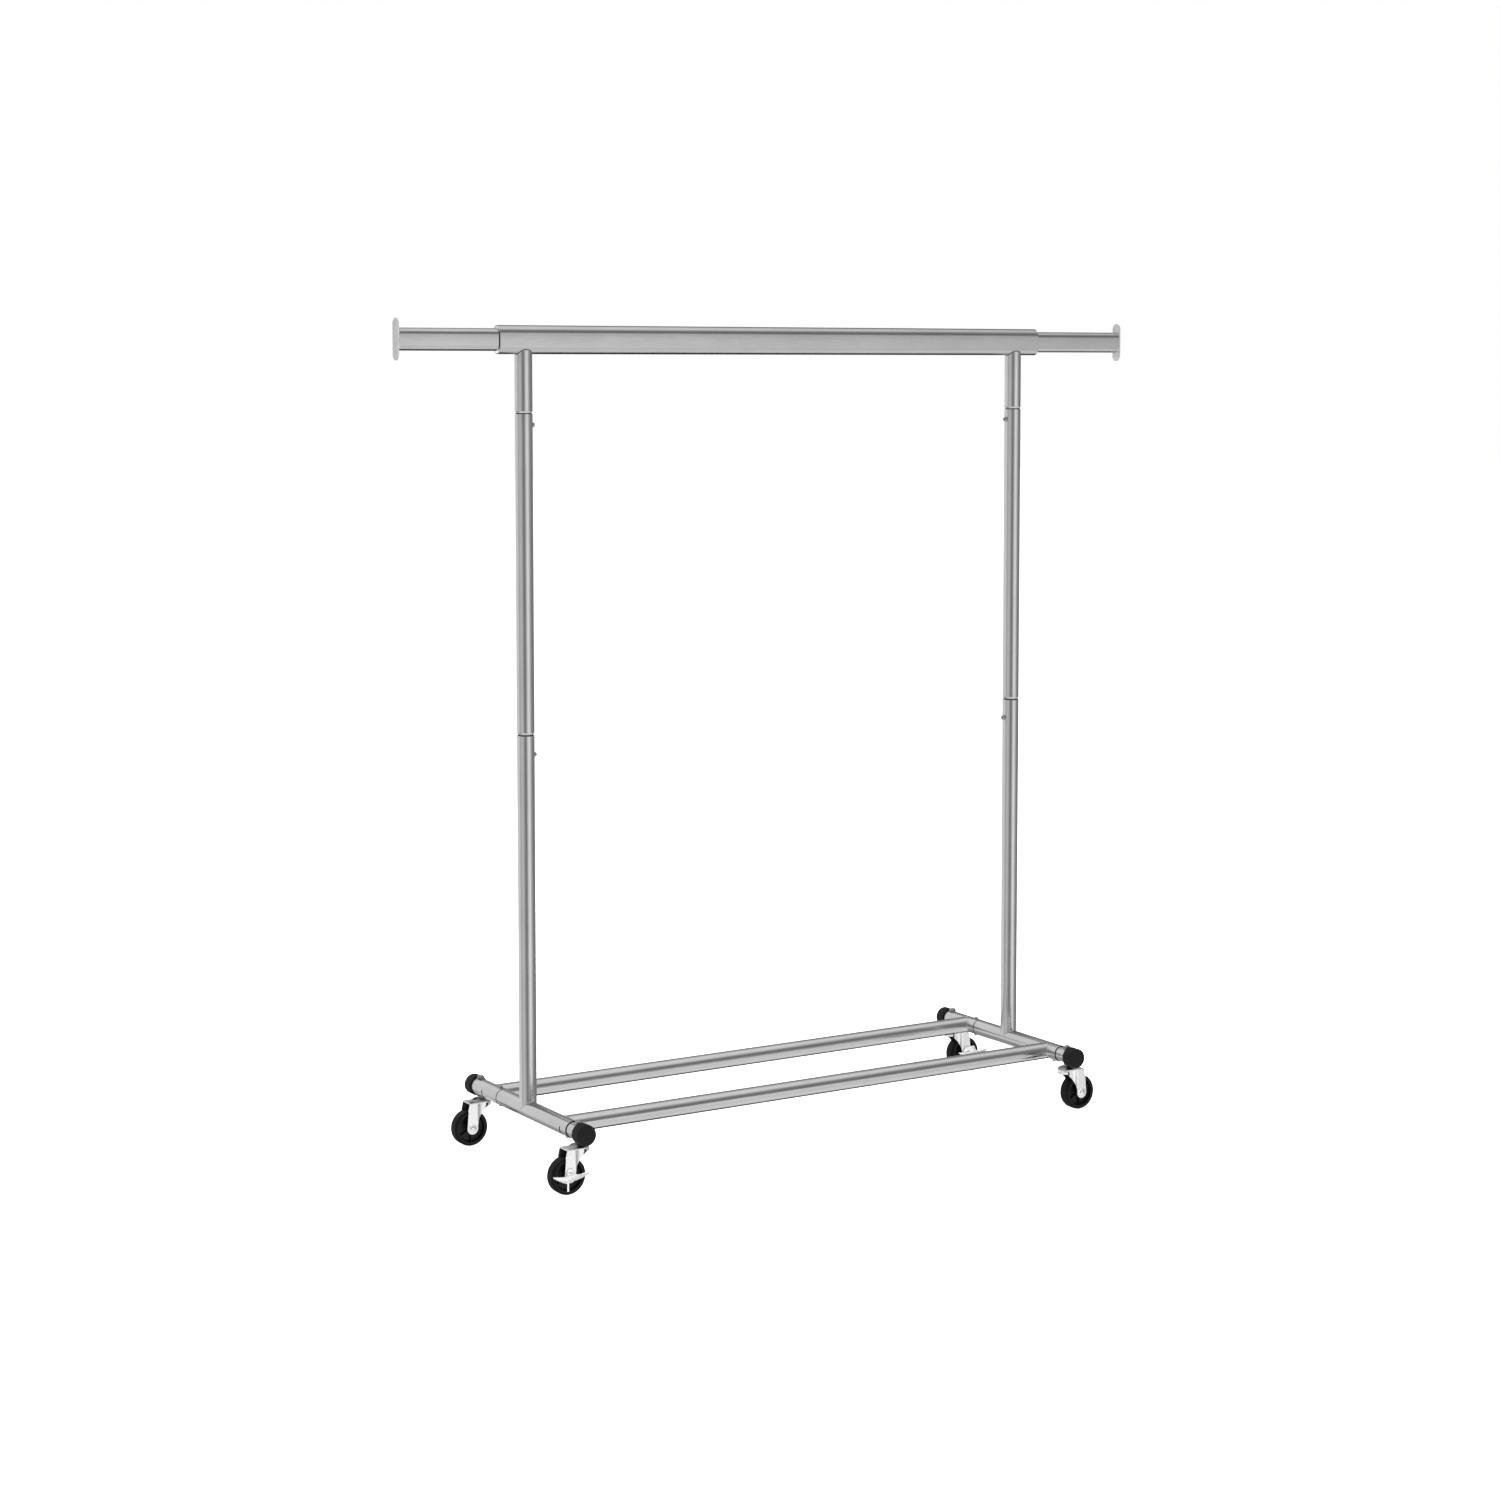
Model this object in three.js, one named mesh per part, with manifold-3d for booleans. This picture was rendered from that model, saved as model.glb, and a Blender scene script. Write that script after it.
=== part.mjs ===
// A rolling clothes rack with a telescoping hanging bar, in millimetres.
//
// +X runs along the bar to the right, +Y to the back and +Z up. The origin is on the floor, below the
// middle of the bar. Two side tubes carry the uprights, two rails join them, and four swivel casters
// stand under the side tubes' ends. The wheels of the left casters point to the left and those of the
// right casters to the right. The front left and rear right casters have brake pedals.

import * as THREE from "three";
import { mergeVertices } from "three/addons/utils/BufferGeometryUtils.js";
import Module from "manifold-3d";

const wasm = await Module();
wasm.setup();

// ---- Driving dimensions -------------------------------------------------------------------------

const GAP = 0.3; // left between pieces that touch

// Round frame tubes
const TUBE_RADIUS = 16.7;
const TUBE_WALL = 1.4;
const BORE_RADIUS = TUBE_RADIUS - TUBE_WALL;
const SPIGOT_RADIUS = BORE_RADIUS - GAP; // a swaged end, or a smaller tube, that slips inside
const SPIGOT_BORE_RADIUS = SPIGOT_RADIUS - TUBE_WALL;
const SWAGE_LENGTH = 2; // length of the shoulder between tube and spigot
const TUBE_SEGMENTS = 20;
const SMALL_SEGMENTS = 12; // around bolts, axles, stems and their holes
const CUT_REACH = 4; // holes and slots are cut from this far outside a tube

// Base
const SIDE_X = 569; // axes of the side tubes and uprights
const BASE_Z = 112.5; // axes of the side tubes and rails
const RAIL_Y = 140.5;
const SIDE_TUBE_FRONT_Y = -181;
const SIDE_TUBE_BACK_Y = 103;
const TUBE_END_Y = 232; // ends of the front stub and the rear sleeve, inside their caps
const BASE_SPIGOT_LENGTH = 46;
const STUB_OVERLAP = 70; // length of the front stub inside the side tube
const CAP_RADIUS = 19.8;
const CAP_INNER_Y = 211;
const CAP_END_Y = 235;

// Twist slots in the outer side of the base, from just above the middle down to the lowest line
const SLOT_WIDTH = 3.6;
const SLOT_TOP = 4;
const FRONT_SLOT_Y = -158.5;
const REAR_SLOT_Y = 164;

// Uprights
const LOWER_JOINT_Z = 830;
const UPPER_JOINT_Z = 1435;
const LOWER_SPIGOT_LENGTH = 62;
const UPPER_SPIGOT_LENGTH = 42;
const LOWER_BOLT_DROP = 38; // bolt axes below the joints
const UPPER_BOLT_DROP = 21;

// Hanging bar: a flat oval tube standing on edge
const BAR_Z = 1573;
const BAR_HEIGHT = 54;
const BAR_DEPTH = 30;
const BAR_WALL = 1.5;
const BAR_HALF_LENGTH = 624;
const SADDLE_TOP_Z = 1557; // top of the stubs' saddles on the faces of the bar
const BUSH_LENGTH = 30;

// Telescoping ends
const EXTENSION_HEIGHT = 42;
const EXTENSION_DEPTH = 23;
const EXTENSION_WALL = 1.5;
const EXTENSION_LENGTH = 520;
const LEFT_PLATE_X = -829;
const RIGHT_PLATE_X = 842;
const PLATE_HEIGHT = 78;
const PLATE_DEPTH = 24;
const PLATE_THICKNESS = 2.5;
const OVAL_SEGMENTS = 8; // in each half circle
const SHEET_SEGMENTS = 8; // in each curve of a sheet's outline

// Fasteners
const UPRIGHT_BOLT = { head: 5.2, headHeight: 5.2, shank: 2.8, length: 13, bore: 3.1 };
const SLEEVE_BOLT = { head: 4.3, headHeight: 3.6, shank: 2, length: 37, bore: 2.3, nut: 3.8, nutHeight: 2.6 };
const STOP_BOLT = { head: 4.3, headHeight: 3.6, shank: 1.5, length: 9, bore: 1.8 };
const SLEEVE_BOLT_Y = 115;

// Casters, measured from the stem's axis and the floor; the wheel trails to one side along X
const CASTER_Y = 201.5;
const TRAIL = 26;
const WHEEL_RADIUS = 35.5;
const WHEEL_WIDTH = 24;
const WHEEL_SEGMENTS = 24;
const WHEEL_SHOULDER = 2.5; // bevel between tread and sides
const WHEEL_RIM_BORE = 27.5;
const WHEEL_WEB_WIDTH = 8;
const HUB_WIDTH = 27;
const HUB_RADIUS = 10;
const AXLE_RADIUS = 4;
const AXLE_HEAD_RADIUS = 6.2;
const AXLE_HEAD = 2.6;
const FORK_SHEET = 2;
const FORK_WIDTH = 33; // over the outside of the legs
const FORK_TOP_Z = 86;
const FORK_TOP_SHEET = 2.5;
const FORK_FRONT = 31.5; // reach of the top plate towards the wheel
const FORK_NOSE = 20; // reach of its rounded nose on the other side
const FORK_SKIRT = 9; // height of the edge turned down around the nose
const FORK_SKIRT_END = 10; // the legs' back edges run up to the skirt this far behind the stem
const FORK_BOSS_RADIUS = 11.3;
const RACE_RADIUS = 19;
const RACE_HEIGHT = 5.2;
const STEM_RADIUS = 5;
const STEM_THREAD_RADIUS = 4;
const STEM_FLANGE_RADIUS = 9;
const STEM_FLANGE = 2.7;
const STEM_COLLAR_RADIUS = 7;
const NUT_RADIUS = 6.9;
const NUT_HEIGHT = 4.6;
const NUT_DOME = 2.2;

// Brake pedals: a plate beside the fork that turns about the axle, and two wings that slope down from it
const PEDAL_SHEET = 2;
const PEDAL_PLATE_RADIUS = 9;
const PEDAL_TOP = 11; // top of the wings above the axle
const PEDAL_SLOPE = 50; // degrees below the horizontal
const PEDAL_NECK = 7; // half the width of the wings where they leave the plate
const PEDAL_LOW = [-13, 22]; // the lowest point of the wings, along X and down the slope
const PEDAL_LEFT_TIP = [-39, 6];
const PEDAL_RIGHT_TIP = [37, 10];
const PEDAL_HOLLOW = 8; // how far down the slope the wings' upper edges dip beside the neck
const REAR_PEDAL_SHIFT = 14; // the rear pedal's wings lie further to the right of their axle
const PEDAL_AXLE_HEAD = 1.6; // the axle's head is thinner under the wings
const TONGUE_WIDTH = 3.4;
const TONGUE_LENGTH = 17;

// ---- Materials ----------------------------------------------------------------------------------

const chromedTube = new THREE.MeshStandardMaterial({ color: 0xb4b4b4, roughness: 0.3, metalness: 1 });
const brightSteel = new THREE.MeshStandardMaterial({ color: 0xdcdcdc, roughness: 0.22, metalness: 1 });
const plateSteel = new THREE.MeshStandardMaterial({ color: 0xb0b0b0, roughness: 0.45, metalness: 1 });
const zincSteel = new THREE.MeshStandardMaterial({ color: 0x9a9a9a, roughness: 0.4, metalness: 1 });
const blackPlastic = new THREE.MeshStandardMaterial({ color: 0x1a1a1a, roughness: 0.55, metalness: 0 });
const greyPlastic = new THREE.MeshStandardMaterial({ color: 0xa8a8a8, roughness: 0.5, metalness: 0 });

// ---- Solids -------------------------------------------------------------------------------------

// A closed geometry as a solid with its faces pointing out.
function toSolid(geometry) {
  const bare = geometry.index ? geometry.clone() : mergeVertices(geometry);
  bare.deleteAttribute("normal");
  bare.deleteAttribute("uv");
  const merged = mergeVertices(bare, 1e-4);
  const vertProperties = new Float32Array(merged.attributes.position.array);
  const corners = Array.from(merged.index.array);
  const triangles = [];
  for (let i = 0; i < corners.length; i += 3) {
    const [a, b, c] = corners.slice(i, i + 3);
    if (a !== b && b !== c && c !== a) triangles.push(a, b, c);
  }
  if (signedVolume(vertProperties, triangles) < 0) triangles.reverse();
  const triVerts = new Uint32Array(triangles);
  return new wasm.Manifold(new wasm.Mesh({ numProp: 3, vertProperties, triVerts }));
}

function signedVolume(positions, triangles) {
  const corner = (index) => new THREE.Vector3().fromArray(positions, index * 3);
  let volume = 0;
  for (let i = 0; i < triangles.length; i += 3) {
    const [a, b, c] = [corner(triangles[i]), corner(triangles[i + 1]), corner(triangles[i + 2])];
    volume += a.dot(b.cross(c)) / 6;
  }
  return volume;
}

function toGeometry(solid) {
  const mesh = solid.getMesh();
  const geometry = new THREE.BufferGeometry();
  geometry.setAttribute("position", new THREE.BufferAttribute(mesh.vertProperties, 3));
  geometry.setIndex(new THREE.BufferAttribute(mesh.triVerts, 1));
  geometry.computeVertexNormals();
  return geometry;
}

function piece(name, solid, material) {
  const mesh = new THREE.Mesh(toGeometry(solid), material);
  mesh.name = name;
  return mesh;
}

// Turns a solid of revolution, made about +Y, to lie along another axis.
function turnTo(geometry, axis) {
  if (axis === "x") geometry.rotateZ(-Math.PI / 2);
  if (axis === "z") geometry.rotateX(Math.PI / 2);
  return geometry;
}

// A solid of revolution about an axis. Its profile is a list of [radius, height] points that starts and
// ends on the axis, or closes on itself.
function revolved(profile, axis, segments = TUBE_SEGMENTS, turn = 0) {
  const points = profile.map(([radius, height]) => new THREE.Vector2(radius, height));
  return toSolid(turnTo(new THREE.LatheGeometry(points, segments, turn), axis));
}

function rod(radius, start, end, axis, segments = TUBE_SEGMENTS) {
  return revolved([[0, start], [radius, start], [radius, end], [0, end]], axis, segments);
}

function pipe(radius, bore, start, end, axis) {
  return revolved([[bore, start], [radius, start], [radius, end], [bore, end], [bore, start]], axis);
}

function block([x0, y0, z0], [x1, y1, z1]) {
  const geometry = new THREE.BoxGeometry(x1 - x0, y1 - y0, z1 - z0);
  geometry.translate((x0 + x1) / 2, (y0 + y1) / 2, (z0 + z1) / 2);
  return toSolid(geometry);
}

function ovalPath(path, depth, height) {
  const radius = depth / 2;
  const rise = height / 2 - radius;
  path.moveTo(radius, -rise);
  path.lineTo(radius, rise);
  path.absarc(0, rise, radius, 0, Math.PI, false);
  path.lineTo(-radius, -rise);
  path.absarc(0, -rise, radius, Math.PI, 2 * Math.PI, false);
  return path;
}

// A flat oval bar standing on edge along X, hollow where a wall is given.
function ovalBar(depth, height, start, end, wall = 0) {
  const shape = ovalPath(new THREE.Shape(), depth, height);
  if (wall > 0) shape.holes.push(ovalPath(new THREE.Path(), depth - 2 * wall, height - 2 * wall));
  const options = { depth: end - start, bevelEnabled: false, curveSegments: OVAL_SEGMENTS };
  const geometry = new THREE.ExtrudeGeometry(shape, options);
  const alongX = new THREE.Matrix4().makeBasis(
    new THREE.Vector3(0, 1, 0),
    new THREE.Vector3(0, 0, 1),
    new THREE.Vector3(1, 0, 0),
  );
  geometry.applyMatrix4(alongX);
  geometry.translate(start, 0, 0);
  return toSolid(geometry);
}

// A flat sheet whose outline is drawn in X and Z, between two values of Y.
function uprightSheet(shape, front, back) {
  const options = { depth: back - front, bevelEnabled: false, curveSegments: SHEET_SEGMENTS };
  const geometry = new THREE.ExtrudeGeometry(shape, options);
  geometry.rotateX(Math.PI / 2);
  geometry.translate(0, back, 0);
  return toSolid(geometry);
}

// A flat sheet whose outline is drawn in X and Y, between two heights.
function levelSheet(shape, bottom, top) {
  const options = { depth: top - bottom, bevelEnabled: false, curveSegments: SHEET_SEGMENTS };
  const geometry = new THREE.ExtrudeGeometry(shape, options);
  geometry.translate(0, 0, bottom);
  return toSolid(geometry);
}

// A bolt along +Z with its domed head below the origin and its shank above; a nut closes the far end
// where the bolt has one.
function bolt({ head, headHeight, shank, length, nut, nutHeight }) {
  const profile = [[0, -headHeight], [head * 0.55, -headHeight * 0.92], [head * 0.9, -headHeight * 0.6]];
  profile.push([head, -headHeight * 0.25], [head, 0], [shank, 0]);
  if (nut) profile.push([shank, length - nutHeight], [nut, length - nutHeight], [nut, length], [0, length]);
  else profile.push([shank, length], [0, length]);
  return revolved(profile, "z", SMALL_SEGMENTS);
}

// ---- Base ---------------------------------------------------------------------------------------

// The slot opens the outer lower quarter of a side tube; the outer side is -X on the left and +X on the right.
function twistSlot(side, y, inner) {
  const outer = side * (TUBE_RADIUS + CUT_REACH);
  const x0 = Math.min(outer, inner);
  const x1 = Math.max(outer, inner);
  const bottom = -TUBE_RADIUS - CUT_REACH;
  return block([x0, y - SLOT_WIDTH / 2, bottom], [x1, y + SLOT_WIDTH / 2, SLOT_TOP]);
}

// The side tube is swaged at the back to enter the rear sleeve, and the front stub enters its front.
function sideTube(side) {
  const shoulder = SIDE_TUBE_BACK_Y - SWAGE_LENGTH;
  const spigotEnd = SIDE_TUBE_BACK_Y + BASE_SPIGOT_LENGTH;
  const body = revolved(
    [
      [TUBE_RADIUS, SIDE_TUBE_FRONT_Y],
      [TUBE_RADIUS, shoulder],
      [SPIGOT_RADIUS, SIDE_TUBE_BACK_Y],
      [SPIGOT_RADIUS, spigotEnd],
      [SPIGOT_BORE_RADIUS, spigotEnd],
      [SPIGOT_BORE_RADIUS, shoulder],
      [BORE_RADIUS, shoulder - SWAGE_LENGTH],
      [BORE_RADIUS, SIDE_TUBE_FRONT_Y],
      [TUBE_RADIUS, SIDE_TUBE_FRONT_Y],
    ],
    "y",
  );
  const slotEnd = -side * (STOP_BOLT.shank + GAP);
  return body.subtract(twistSlot(side, FRONT_SLOT_Y, slotEnd)).subtract(boltHole(SLEEVE_BOLT.bore, SLEEVE_BOLT_Y));
}

function boltHole(radius, y) {
  return rod(radius, -TUBE_RADIUS - CUT_REACH, TUBE_RADIUS + CUT_REACH, "z", SMALL_SEGMENTS).translate([0, y, 0]);
}

function rearSleeve(side) {
  const start = SIDE_TUBE_BACK_Y + 1;
  return pipe(TUBE_RADIUS, BORE_RADIUS, start, TUBE_END_Y, "y")
    .subtract(twistSlot(side, REAR_SLOT_Y, 0))
    .subtract(boltHole(SLEEVE_BOLT.bore, SLEEVE_BOLT_Y))
    .subtract(boltHole(STEM_THREAD_RADIUS + GAP, CASTER_Y));
}

function frontStub() {
  const inside = SIDE_TUBE_FRONT_Y + STUB_OVERLAP;
  const stopHole = rod(STOP_BOLT.bore, -TUBE_RADIUS, 0, "z", SMALL_SEGMENTS).translate([0, FRONT_SLOT_Y, 0]);
  return pipe(SPIGOT_RADIUS, SPIGOT_BORE_RADIUS, -TUBE_END_Y, inside, "y")
    .subtract(boltHole(STEM_THREAD_RADIUS + GAP, -CASTER_Y))
    .subtract(stopHole);
}

// A cup that slips over a tube's end; its closed end points to the front or to the back.
function endCap(direction, tubeRadius) {
  const bore = tubeRadius + GAP;
  const inner = direction * CAP_INNER_Y;
  const end = direction * CAP_END_Y;
  const bottom = direction * (TUBE_END_Y + GAP);
  const bevel = 1.2;
  return revolved(
    [
      [0, end],
      [CAP_RADIUS - bevel, end],
      [CAP_RADIUS, end - direction * bevel],
      [CAP_RADIUS, inner],
      [bore, inner],
      [bore, bottom],
      [0, bottom],
    ],
    "y",
  );
}

function baseRail() {
  const rail = pipe(TUBE_RADIUS, BORE_RADIUS, -SIDE_X, SIDE_X, "x");
  const saddle = rod(TUBE_RADIUS + GAP, -2 * TUBE_RADIUS, 2 * TUBE_RADIUS, "y");
  return rail.subtract(saddle.translate([-SIDE_X, 0, 0])).subtract(saddle.translate([SIDE_X, 0, 0]));
}

function base() {
  const group = new THREE.Group();
  group.position.z = BASE_Z;
  for (const [place, y] of [["front", -RAIL_Y], ["rear", RAIL_Y]]) {
    const rail = piece(`${place}_rail`, baseRail(), chromedTube);
    rail.position.y = y;
    group.add(rail);
  }
  for (const [hand, side] of [["left", -1], ["right", 1]]) {
    const end = new THREE.Group();
    end.position.x = side * SIDE_X;
    end.add(piece(`${hand}_side_tube`, sideTube(side), chromedTube));
    end.add(piece(`${hand}_rear_sleeve`, rearSleeve(side), chromedTube));
    end.add(piece(`${hand}_front_stub`, frontStub(), chromedTube));
    end.add(piece(`${hand}_front_cap`, endCap(-1, SPIGOT_RADIUS), blackPlastic));
    end.add(piece(`${hand}_rear_cap`, endCap(1, TUBE_RADIUS), blackPlastic));

    const sleeveBolt = piece(`${hand}_sleeve_bolt`, bolt(SLEEVE_BOLT), zincSteel);
    sleeveBolt.position.set(0, SLEEVE_BOLT_Y, TUBE_RADIUS + GAP);
    sleeveBolt.rotation.x = Math.PI;
    const stopBolt = piece(`${hand}_stop_bolt`, bolt(STOP_BOLT), zincSteel);
    stopBolt.position.set(0, FRONT_SLOT_Y, -TUBE_RADIUS - GAP);
    end.add(sleeveBolt, stopBolt);
    group.add(end);
  }
  return group;
}

// ---- Uprights -----------------------------------------------------------------------------------

// A tube that runs up to a given height and is swaged at its lower end to enter the tube below.
function swagedTube(jointZ, top, spigotLength) {
  const spigotEnd = jointZ - spigotLength;
  return revolved(
    [
      [TUBE_RADIUS, top],
      [TUBE_RADIUS, jointZ + SWAGE_LENGTH],
      [SPIGOT_RADIUS, jointZ],
      [SPIGOT_RADIUS, spigotEnd],
      [SPIGOT_BORE_RADIUS, spigotEnd],
      [SPIGOT_BORE_RADIUS, jointZ + SWAGE_LENGTH],
      [BORE_RADIUS, jointZ + 2 * SWAGE_LENGTH],
      [BORE_RADIUS, top],
      [TUBE_RADIUS, top],
    ],
    "z",
  );
}

// A hole through the inner side of an upright; the inner side is +X on the left and -X on the right.
function crossHole(side, z) {
  const reach = -side * (TUBE_RADIUS + CUT_REACH);
  return rod(UPRIGHT_BOLT.bore, Math.min(0, reach), Math.max(0, reach), "x", SMALL_SEGMENTS).translate([0, 0, z]);
}

function lowerUpright(side) {
  const saddle = rod(TUBE_RADIUS + GAP, -2 * TUBE_RADIUS, 2 * TUBE_RADIUS, "y").translate([0, 0, BASE_Z]);
  return pipe(TUBE_RADIUS, BORE_RADIUS, BASE_Z, LOWER_JOINT_Z, "z")
    .subtract(saddle)
    .subtract(crossHole(side, LOWER_JOINT_Z - LOWER_BOLT_DROP));
}

function upperUpright(side) {
  return swagedTube(LOWER_JOINT_Z, UPPER_JOINT_Z, LOWER_SPIGOT_LENGTH)
    .subtract(crossHole(side, LOWER_JOINT_Z - LOWER_BOLT_DROP))
    .subtract(crossHole(side, UPPER_JOINT_Z - UPPER_BOLT_DROP));
}

// The stub's top is a saddle that holds the lower half of the bar.
function barStub(side) {
  const clearance = 2 * GAP;
  const bar = ovalBar(BAR_DEPTH + clearance, BAR_HEIGHT + clearance, -2 * TUBE_RADIUS, 2 * TUBE_RADIUS);
  return swagedTube(UPPER_JOINT_Z, SADDLE_TOP_Z, UPPER_SPIGOT_LENGTH)
    .subtract(bar.translate([0, 0, BAR_Z]))
    .subtract(crossHole(side, UPPER_JOINT_Z - UPPER_BOLT_DROP));
}

function uprightBolt(name, side, z) {
  const mesh = piece(name, bolt(UPRIGHT_BOLT), zincSteel);
  mesh.position.set(-side * (TUBE_RADIUS + GAP), 0, z);
  mesh.rotation.y = (side * Math.PI) / 2;
  return mesh;
}

function uprights() {
  const group = new THREE.Group();
  for (const [hand, side] of [["left", -1], ["right", 1]]) {
    const column = new THREE.Group();
    column.position.x = side * SIDE_X;
    column.add(piece(`${hand}_lower_upright`, lowerUpright(side), chromedTube));
    column.add(piece(`${hand}_upper_upright`, upperUpright(side), chromedTube));
    column.add(piece(`${hand}_bar_stub`, barStub(side), chromedTube));
    column.add(uprightBolt(`${hand}_lower_bolt`, side, LOWER_JOINT_Z - LOWER_BOLT_DROP));
    column.add(uprightBolt(`${hand}_upper_bolt`, side, UPPER_JOINT_Z - UPPER_BOLT_DROP));
    group.add(column);
  }
  return group;
}

// ---- Hanging bar --------------------------------------------------------------------------------

function barBush(side) {
  const outerDepth = BAR_DEPTH - 2 * BAR_WALL - 2 * GAP;
  const outerHeight = BAR_HEIGHT - 2 * BAR_WALL - 2 * GAP;
  const mouth = side * BAR_HALF_LENGTH;
  const inner = mouth - side * BUSH_LENGTH;
  const start = Math.min(mouth, inner);
  const end = Math.max(mouth, inner);
  const clearance = 2 * GAP;
  const opening = ovalBar(EXTENSION_DEPTH + clearance, EXTENSION_HEIGHT + clearance, start - 1, end + 1);
  return ovalBar(outerDepth, outerHeight, start, end).subtract(opening);
}

function hangingBar() {
  const group = new THREE.Group();
  group.position.z = BAR_Z;
  const bar = ovalBar(BAR_DEPTH, BAR_HEIGHT, -BAR_HALF_LENGTH, BAR_HALF_LENGTH, BAR_WALL);
  group.add(piece("hanging_bar", bar, chromedTube));
  for (const [hand, side, plateX] of [["left", -1, LEFT_PLATE_X], ["right", 1, RIGHT_PLATE_X]]) {
    const outer = plateX - side * (PLATE_THICKNESS / 2 + GAP);
    const inner = outer - side * EXTENSION_LENGTH;
    const [start, end] = [Math.min(inner, outer), Math.max(inner, outer)];
    const tube = ovalBar(EXTENSION_DEPTH, EXTENSION_HEIGHT, start, end, EXTENSION_WALL);
    const plateStart = plateX - PLATE_THICKNESS / 2;
    const plate = ovalBar(PLATE_DEPTH, PLATE_HEIGHT, plateStart, plateStart + PLATE_THICKNESS);
    group.add(piece(`${hand}_bar_bush`, barBush(side), greyPlastic));
    group.add(piece(`${hand}_extension_tube`, tube, chromedTube));
    group.add(piece(`${hand}_end_plate`, plate, plateSteel));
  }
  return group;
}

// ---- Casters ------------------------------------------------------------------------------------

// The outline of a fork leg in X and Z, with the wheel towards side * X. Its back edge sweeps from the
// boss around the axle up to the skirt.
function legShape(side) {
  const axle = side * TRAIL;
  const front = side * FORK_FRONT;
  const skirtBottom = FORK_TOP_Z - FORK_SKIRT;
  const skirtX = -side * FORK_SKIRT_END;
  const shape = new THREE.Shape();
  shape.moveTo(skirtX, FORK_TOP_Z);
  shape.lineTo(front, FORK_TOP_Z);
  shape.lineTo(axle + side * FORK_BOSS_RADIUS, WHEEL_RADIUS);
  if (side < 0) shape.absarc(axle, WHEEL_RADIUS, FORK_BOSS_RADIUS, Math.PI, 2 * Math.PI, false);
  else shape.absarc(axle, WHEEL_RADIUS, FORK_BOSS_RADIUS, 0, -Math.PI, true);
  shape.quadraticCurveTo(axle - side * (FORK_BOSS_RADIUS + 2), skirtBottom - FORK_SKIRT, skirtX, skirtBottom);
  return shape;
}

// The top plate is square towards the wheel and round at the nose; inset draws the room inside the sheet.
function forkTopShape(side, inset) {
  const half = FORK_WIDTH / 2 - inset;
  const front = side * (FORK_FRONT + inset);
  const noseX = -side * (FORK_NOSE - FORK_WIDTH / 2);
  const shape = new THREE.Shape();
  shape.moveTo(front, -half);
  shape.lineTo(front, half);
  shape.lineTo(noseX, half);
  if (side < 0) shape.absarc(noseX, 0, half, Math.PI / 2, -Math.PI / 2, true);
  else shape.absarc(noseX, 0, half, Math.PI / 2, (3 * Math.PI) / 2, false);
  return shape;
}

// A pressed cup, open towards the wheel, with a leg on each side of the wheel.
function fork(side) {
  const half = FORK_WIDTH / 2;
  const leg = legShape(side);
  const skirtBottom = FORK_TOP_Z - FORK_SKIRT;
  const plateBottom = FORK_TOP_Z - FORK_TOP_SHEET;
  const stemHole = rod(STEM_RADIUS + GAP, plateBottom - 1, FORK_TOP_Z + 1, "z", SMALL_SEGMENTS);
  const axleHole = rod(AXLE_RADIUS + GAP, -half - 1, half + 1, "y", SMALL_SEGMENTS);
  const front = side * (FORK_FRONT + 1);
  const skirtEnd = -side * FORK_SKIRT_END;
  const opening = block(
    [Math.min(front, skirtEnd), -half - 1, skirtBottom - 1],
    [Math.max(front, skirtEnd), half + 1, plateBottom],
  );
  return levelSheet(forkTopShape(side, 0), skirtBottom, FORK_TOP_Z)
    .subtract(levelSheet(forkTopShape(side, FORK_SHEET), skirtBottom - 1, plateBottom))
    .subtract(opening)
    .add(uprightSheet(leg, -half, -half + FORK_SHEET))
    .add(uprightSheet(leg, half - FORK_SHEET, half))
    .subtract(stemHole)
    .subtract(axleHole.translate([side * TRAIL, 0, WHEEL_RADIUS]));
}

// The wheel turns about its own origin. The lowest facet lies flat on the floor.
function wheel() {
  const facet = (2 * Math.PI) / WHEEL_SEGMENTS;
  const rim = WHEEL_RADIUS / Math.cos(facet / 2);
  const half = WHEEL_WIDTH / 2;
  const webHalf = WHEEL_WEB_WIDTH / 2;
  const bore = AXLE_RADIUS + GAP;
  const draft = 1;
  const side = [
    [rim, half - WHEEL_SHOULDER],
    [rim - WHEEL_SHOULDER, half],
    [WHEEL_RIM_BORE, half],
    [WHEEL_RIM_BORE - draft, webHalf],
    [HUB_RADIUS + draft, webHalf],
    [HUB_RADIUS, HUB_WIDTH / 2],
    [bore, HUB_WIDTH / 2],
  ];
  const mirrored = side.map(([radius, y]) => [radius, -y]).reverse();
  return revolved([...side, ...mirrored, side[0]], "y", WHEEL_SEGMENTS, facet / 2);
}

// The axle's heads lie outside the fork's legs; a brake pedal turns between the front head and the leg.
function axle(hasBrake) {
  const headHeight = hasBrake ? PEDAL_AXLE_HEAD : AXLE_HEAD;
  const front = -FORK_WIDTH / 2 - GAP - (hasBrake ? PEDAL_SHEET + GAP : 0);
  const back = FORK_WIDTH / 2 + GAP;
  const [thin, wide] = [AXLE_RADIUS, AXLE_HEAD_RADIUS];
  const bevel = 0.8;
  return revolved(
    [
      [0, front - headHeight],
      [wide - bevel, front - headHeight],
      [wide, front - headHeight + bevel],
      [wide, front],
      [thin, front],
      [thin, back],
      [wide, back],
      [wide, back + AXLE_HEAD - bevel],
      [wide - bevel, back + AXLE_HEAD],
      [0, back + AXLE_HEAD],
    ],
    "y",
    SMALL_SEGMENTS,
  );
}

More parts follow.
